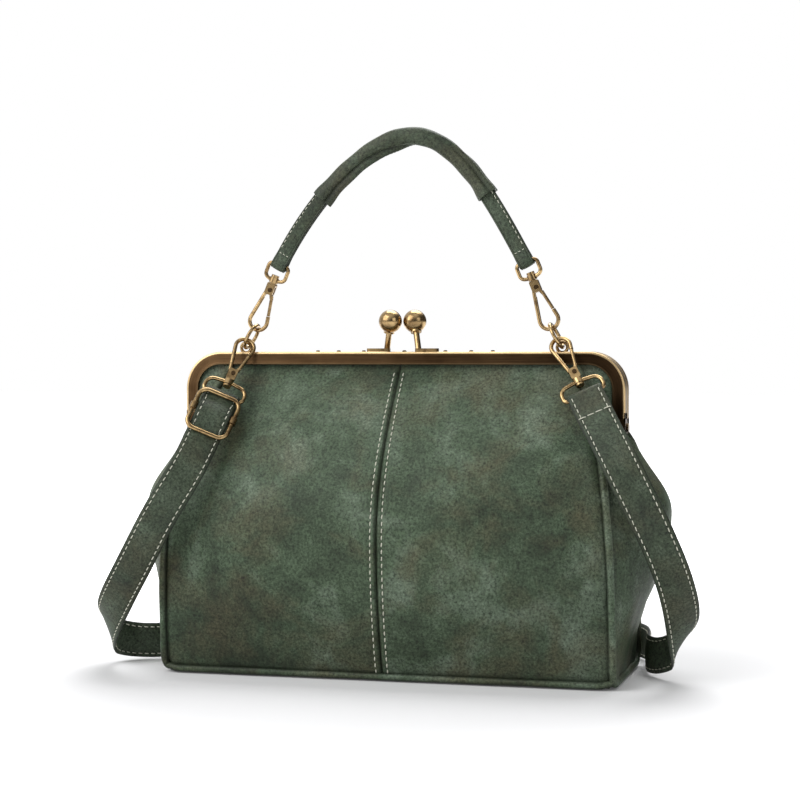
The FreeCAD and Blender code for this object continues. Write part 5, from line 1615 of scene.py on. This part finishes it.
@dataclass(frozen=True)
class FrameHalves:
    """The two bent metal channels, with rounded outer edges and a rolled lip.

    lug_layers has where the front half's and the back half's hinge lugs start and end across the bag.
    """

    half: float = BagForm.frame_half
    top: float = BagForm.top
    corner: float = BagForm.frame_corner
    foot: float = 0.143
    face: float = BagForm.frame_face
    back: float = 0.0060
    depth: float = 0.0070
    gap: float = 0.0006
    wall: float = 0.0008
    edge_round: float = 0.0008
    lip: float = 0.00055
    hinge: float = BagForm.hinge
    lug: float = 0.0034
    lug_layers: tuple[Range, ...] = ((0.1274, 0.1280), (0.1264, 0.1272))

    def path(self) -> tuple[np.ndarray, np.ndarray]:
        """The outer edge of the arch, from the left foot to the right one.

        Returns:
            Points of the edge, and the inward direction at each.
        """
        shelf = self.top - self.corner
        centre = self.half - self.corner
        arm = np.linspace(self.foot, shelf, 5)[:-1]
        angle = np.linspace(math.pi, math.pi / 2, 17)
        bend = np.stack([-centre + self.corner * np.cos(angle), shelf + self.corner * np.sin(angle)], axis=-1)
        inward = np.stack([-np.cos(angle), -np.sin(angle)], axis=-1)
        left = np.concatenate([np.stack([np.full(len(arm), -self.half), arm], axis=-1), bend])
        left_in = np.concatenate([np.tile([1.0, 0.0], (len(arm), 1)), inward])
        flat = np.linspace(-centre, 0.0, 12)[1:]
        left = np.concatenate([left, np.stack([flat, np.full(len(flat), self.top)], axis=-1)])
        left_in = np.concatenate([left_in, np.tile([0.0, -1.0], (len(flat), 1))])
        mirror = np.array([-1.0, 1.0])
        points = np.concatenate([left, left[-2::-1] * mirror])
        ways = np.concatenate([left_in, left_in[-2::-1] * mirror])
        return points, ways

    def section(self) -> tuple[np.ndarray, np.ndarray]:
        """The channel's section: distance inward from the edge, and depth from the middle.

        Returns:
            Points of the section, and the rubbing and painted highlight of each, highest on the rounded outer edge.
        """
        near = self.gap / 2
        far = near + self.depth
        bend = np.linspace(0.0, math.pi / 2, 6)
        roll = np.linspace(-math.pi / 2, math.pi / 2, 6)
        lip = self.lip
        r = self.edge_round
        small = r / 2
        outline = []
        wear = []

        def add(points: np.ndarray, rub_and_painted_light: float) -> None:
            """Append points of the outline with one level of rubbing and painted highlight."""
            outline.extend(points.tolist())
            wear.extend([rub_and_painted_light] * len(points))

        add(np.stack([self.face - lip + lip * np.cos(roll) * 0.9,
                      far - self.wall / 2 + (lip + 0.00012) * np.sin(roll)], axis=-1), 0.1)
        add(np.array([[self.face - 2.2 * lip, far + 0.00004], [0.5 * self.face, far + 0.00012],
                      [r + 0.0006, far + 0.00005]]), 0.0)
        # Painted highlight, partly rubbed brass, on the rounded outer edge, and a lesser one on the rounded back edge.
        add(np.stack([r - r * np.sin(bend), far - r + r * np.cos(bend)], axis=-1), 1.0)
        add(np.array([[0.0, (near + far) / 2]]), 0.12)
        add(np.stack([small - small * np.cos(bend), near + small - small * np.sin(bend)], axis=-1), 0.7)
        add(np.array([[self.back, near], [self.back, near + self.wall], [self.wall, near + self.wall],
                      [self.wall, far - self.wall], [self.face - 2.2 * lip, far - self.wall]]), 0.0)
        return np.array(outline), np.array(wear)

    def plate(self, outline: np.ndarray, axis: int, low: float, high: float) -> Draft:
        """A flat plate with a given outline.

        Args:
            outline: Points of the outline, across the axis.
            axis: The way that the plate's thickness points, 0 for x and 1 for y.
            low: Where the plate starts on that axis.
            high: Where it ends.

        Returns:
            The plate.
        """
        count = len(outline)
        layers = [np.insert(outline, axis, level, axis=1) for level in (low, high)]
        faces = grid_faces(2, count, ring=True)
        faces += [tuple(reversed(range(count))), tuple(range(count, 2 * count))]
        return Draft(np.concatenate(layers), faces)

    def foot_drafts(self, side: Side, hand: Hand) -> list[Draft]:
        """The end of an arm: a hinge lug on a short neck, and the rounded tip of the face over it.

        Args:
            side: Which half it belongs to.
            hand: Left or right arm.

        Returns:
            The lug and the tip.
        """
        low, high = self.lug_layers[0 if side is Side.FRONT else 1]
        far = self.gap / 2 + self.depth
        turn = np.linspace(math.pi / 2, -math.pi, 22)
        eye = np.stack([np.cos(turn) * self.lug, self.hinge + np.sin(turn) * self.lug], axis=-1)
        neck = np.array([[-far, self.hinge + 0.002], [-far, self.foot + self.lug], [0.0, self.foot + self.lug]])
        lug = np.concatenate([eye, neck]) * np.array([-side.value, 1.0])
        turn = np.linspace(0.0, -math.pi, 15)
        tip = np.stack([self.half - self.face / 2 + self.face / 2 * np.cos(turn),
                        self.hinge + self.face / 2 * np.sin(turn)], axis=-1)
        top = np.array([[self.half - self.face, self.foot + 0.0005], [self.half, self.foot + 0.0005]])
        tip = np.concatenate([tip, top]) * np.array([hand.value, 1.0])
        return [self.plate(lug, 0, hand.value * low, hand.value * high),
                self.plate(tip, 1, side.value * (far - self.wall), side.value * far)]

    def build(self) -> None:
        """Make both halves."""
        path, inward = self.path()
        place = run_length(path)
        for side in Side:
            section, wear = self.section()
            line = np.column_stack([path[:, 0], np.zeros(len(path)), path[:, 1]])
            ways = np.column_stack([inward[:, 0], np.zeros(len(path)), inward[:, 1]])
            deep = np.tile([0.0, side.value, 0.0], (len(path), 1))
            band = sweep(line, ways, deep, section, wear)
            count = len(section)
            band.lay = np.stack([np.repeat(place, count), np.tile(section[:, 0], len(path)),
                                 np.tile(section[:, 1], len(path))], axis=-1)
            feet = [draft for hand in Hand for draft in self.foot_drafts(side, hand)]
            thing = joined([band] + feet).piece(f"{side.word}_frame_band", FRAME_METAL, Slot.FRAME)
            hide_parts(f"{side.word}_frame_channel")
            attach(thing, side.frame_body)


@dataclass(frozen=True)
class Handle:
    """The short handle: folded strap ends with sewing, and a wrapped grip with its seam.

    fin is the grip's raised seam, round the section in radians. fin_turn has the angle at which it starts and
    how far it winds along the grip, in degrees. The second fin is a shorter fold near the right end. The
    creases beside both are heights of painted shade.
    """

    end_x: float = 0.071976
    end_z: float = 0.229906
    rise: float = 0.072
    power: float = 1.86
    lean: float = 0.006
    y: float = -0.0038
    grip_half: float = 0.0485
    grip_width: float = 0.0106
    grip_thick: float = 0.0090
    strap_width: float = 0.0090
    layer: float = 0.0019
    bar_radius: float = 0.0013
    cross_row: float = 0.0075
    cross_lift: float = 0.54
    cross_half: float = 0.38
    overlap: float = 0.003
    layer_gap: float = 0.00008
    turns: int = 11
    fin: tuple[Ridge, ...] = (Ridge(0.0024, 0.0, 0.24), Ridge(-0.0009, 0.52, 0.17), Ridge(-0.0005, -0.5, 0.2))
    fin_crease: tuple[Ridge, ...] = (Ridge(0.85, 0.48, 0.13), Ridge(0.35, -0.46, 0.12))
    fin_turn: Range = (200.0, 150.0)
    second_fin: tuple[Ridge, ...] = (Ridge(0.0011, 0.0, 0.22), Ridge(-0.0007, -0.44, 0.16))
    second_crease: Ridge = Ridge(0.7, -0.42, 0.11)
    second_angle: float = 325.0
    flare: float = 0.0009
    grip_inset: float = 0.0003
    grip_tuck: tuple[float, ...] = (0.0030, 0.0030, 0.0, 0.0)
    grip_shrink: tuple[float, ...] = (0.55, 0.80, 0.86, 0.97)
    grip_end_wear: float = 0.9
    sewing: Stitching = field(default_factory=lambda: Stitching(0.0021, 0.0009, 0.00026))
    cross_sewing: Stitching = field(default_factory=lambda: Stitching(0.0015, 0.0005, 0.00024))

    def arch(self, x: np.ndarray) -> np.ndarray:
        """The handle's arch.

        Args:
            x: Places across the bag.

        Returns:
            Points of the arch at those places.
        """
        share = np.minimum(np.abs(x / self.end_x), 1.0)
        z = self.end_z + self.rise * (1 - share ** self.power)
        return np.stack([x + self.lean * (1 - share ** 2) ** 2, np.full_like(x, self.y), z], axis=-1)

    def end_line(self, hand: Hand) -> tuple[np.ndarray, np.ndarray]:
        """The line of a folded end: down in front, round the loop's bar and up behind.

        Args:
            hand: Left or right end.

        Returns:
            Points of the line, and the way that its width points at each.
        """
        x = hand.value * np.linspace(self.grip_half - self.overlap, self.end_x, 26)
        arch = self.arch(x)
        way = along(arch)
        left = run_length(arch)[-1] - run_length(arch)
        wrap = self.bar_radius + self.layer / 2
        close = self.layer / 2 + self.layer_gap
        apart = close + (wrap - close) * fall(left, 0.0, 0.0075)
        deep = np.array([0.0, 1.0, 0.0])
        front = arch - deep * apart[:, None]
        back = arch + deep * apart[:, None]
        angle = np.linspace(0.0, math.pi, self.turns + 2)[1:-1, None]
        turn = arch[-1] + wrap * (way[-1] * np.sin(angle) - deep * np.cos(angle))
        line = np.concatenate([front, turn, back[::-1]])
        outward = np.cross(deep, way) * -hand.value
        wide = np.concatenate([outward, np.tile(outward[-1], (len(turn), 1)), outward[::-1]])
        return line, wide

    def ends(self) -> None:
        """Make both folded ends with their sewing."""
        ribbon = Ribbon(self.strap_width, self.layer, 0.0002, 0.74)
        for hand in Hand:
            line, wide = self.end_line(hand)
            thing = ribbon.make(line, wide).piece(f"{hand.word}_handle_strap_end", STRAP_LEATHER, Slot.LEATHER)
            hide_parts("handle_strap")
            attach(thing, "handle")
            count = (len(line) - self.turns) // 2
            rows = []
            for run in (slice(2, count - 4), slice(len(line) - count + 4, len(line) - 2)):
                outer = -1 if line[run].mean(axis=0)[1] < self.y else 1
                facing = np.sign((np.cross(along(line[run]), wide[run])[:, 1] * outer).mean())
                rows.append(ribbon.seam(line[run], wide[run], 1, int(facing), self.sewing))
            rows.append(self.cross_stitches(line[:count], wide[:count]))
            sewing = joined(rows).piece(f"{hand.word}_handle_sewing", THREAD, Slot.LEATHER)
            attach(sewing, "handle")

    def cross_stitches(self, line: np.ndarray, wide: np.ndarray) -> Draft:
        """The short row across the front of an end, above its loop.

        Args:
            line: The front layer's line, towards the loop.
            wide: The way that its width points at each point.

        Returns:
            The stitches.
        """
        left = run_length(line)[-1] - run_length(line)
        spot = int(np.argmin(np.abs(left - self.cross_row)))
        shares = np.linspace(-self.cross_half, self.cross_half, 7)[:, None] * self.strap_width
        front = np.array([0.0, -1.0, 0.0])
        row = line[spot] + wide[spot] * shares + front * (self.cross_lift * self.layer)
        return self.cross_sewing.run(row, np.broadcast_to(front, row.shape))

    def grip_section(self, place: np.ndarray, sides: int) -> tuple[np.ndarray, np.ndarray]:
        """The wrapped grip's section at places from 0 to 1 along it.

        Args:
            place: Places along the grip.
            sides: Number of points in a section.

        Returns:
            Points of the section at each place, outward of the arch and towards the back, and their painted shade.
        """
        angle = np.linspace(0.0, 2 * math.pi, sides, endpoint=False)[None]

        def away(middle: np.ndarray) -> np.ndarray:
            """Angles from a fold's middle."""
            return (angle - middle + math.pi) % (2 * math.pi) - math.pi

        first, turn = (math.radians(value) for value in self.fin_turn)
        off = away((first - turn * ease(place, 0.25, 0.85))[:, None])
        over = away(math.radians(self.second_angle))
        second = ease(place, 0.55, 0.92)[:, None]
        fin = relief(self.fin, off) + second * relief(self.second_fin, over)
        # Painted shade in the creases beside both folds.
        crease = relief(self.fin_crease, off) + second * self.second_crease.at(over)
        ripple = 0.00012 * np.sin(46 * place)[:, None] + 0.00010 * np.sin(3 * angle + 21 * place[:, None])
        flare = self.flare * (fall(place, 0.0, 0.09) + ease(place, 0.91, 1.0))[:, None]
        grow = fin + ripple + flare - self.grip_inset
        points = np.stack([(self.grip_width / 2 + grow) * np.cos(angle),
                           (self.grip_thick / 2 + grow) * np.sin(angle)], axis=-1)
        return points, crease

    def grip(self) -> None:
        """Make the wrapped grip with open-looking ends."""
        x = np.sin(np.linspace(-1.0, 1.0, 84) * math.pi / 2) * self.grip_half
        line = self.arch(x)
        way = along(line)
        deep = np.tile([0.0, 1.0, 0.0], (len(line), 1))
        outward = np.cross(deep, way) * -1.0
        place = run_length(line) / run_length(line)[-1]
        section, crease = self.grip_section(place, 64)
        tuck = np.array(self.grip_tuck)[:, None]
        shrink = np.array(self.grip_shrink)[:, None, None]
        count = len(shrink)
        whole = np.concatenate([line[0] + way[0] * tuck, line, (line[-1] - way[-1] * tuck)[::-1]])
        loops = np.concatenate([section[:1] * shrink, section, section[-1:] * shrink[::-1]])
        ways = [np.concatenate([np.repeat(v[:1], count, axis=0), v, np.repeat(v[-1:], count, axis=0)])
                for v in (outward, deep)]
        draft = sweep(whole, ways[0], ways[1], loops)
        # Painted shade in the creases and at the tucked ends.
        rub_and_painted_light = np.zeros((len(whole), section.shape[1]))
        rub_and_painted_light[count:-count] = crease
        rub_and_painted_light[:count - 1] = self.grip_end_wear
        rub_and_painted_light[1 - count:] = self.grip_end_wear
        draft.wear = rub_and_painted_light.ravel()
        thing = draft.piece("handle_grip_leather", STRAP_LEATHER, Slot.LEATHER)
        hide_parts("handle_grip")
        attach(thing, "handle")

    def build(self) -> None:
        """Make every piece of the handle."""
        self.ends()
        self.grip()


@dataclass(frozen=True)
class MetalFittings:
    """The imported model's own metal pieces, which keep their shape and get a finish."""

    single: tuple[str, ...] = ("front_clasp_ball", "front_clasp_stem", "back_clasp_ball", "back_clasp_stem",
                               "back_frame_rivets", "hinge_pins", "slider_frame", "slider_bar")
    hands: tuple[str, ...] = ("eyelet", "link_ring", "handle_hook", "handle_gate", "handle_gate_rivet",
                              "handle_loop", "strap_hook", "strap_gate", "strap_gate_rivet", "strap_loop")
    dark_ends: tuple[str, ...] = ("rivet", "rivets")

    def dress(self, nodes: dict[str, bpy.types.Object]) -> None:
        """Give every metal piece and the base board their finishes.

        Args:
            nodes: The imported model's nodes.
        """
        names = list(self.single) + [f"{hand.word}_{name}" for hand in Hand for name in self.hands]
        for name in names:
            self.wear(nodes[name], RIVET_METAL if name.endswith(self.dark_ends) else HARDWARE)
        self.wear(nodes["base_board"], BOARD)

    def wear(self, node: bpy.types.Object, finish: Finish) -> None:
        """Put a finish into all of a node's material slots.

        Args:
            node: The node.
            finish: The finish.
        """
        if not node.material_slots:
            node.data.materials.append(finish.material())
        for slot in node.material_slots:
            slot.material = finish.material()
        LOG.info("node %s: %s", node.name, finish.name)


def main() -> None:
    """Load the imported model, dress it and set the studio."""
    logging.basicConfig(level=logging.INFO, format="%(name)s: %(message)s")
    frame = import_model()
    studio = Studio()
    studio.camera()
    ShoulderStrap().build(frame["nodes"])
    Body().build()
    FrameHalves().build()
    Handle().build()
    MetalFittings().dress(frame["nodes"])
    studio.floor()
    studio.world()
    studio.light()


if __name__ == "__main__":
    main()
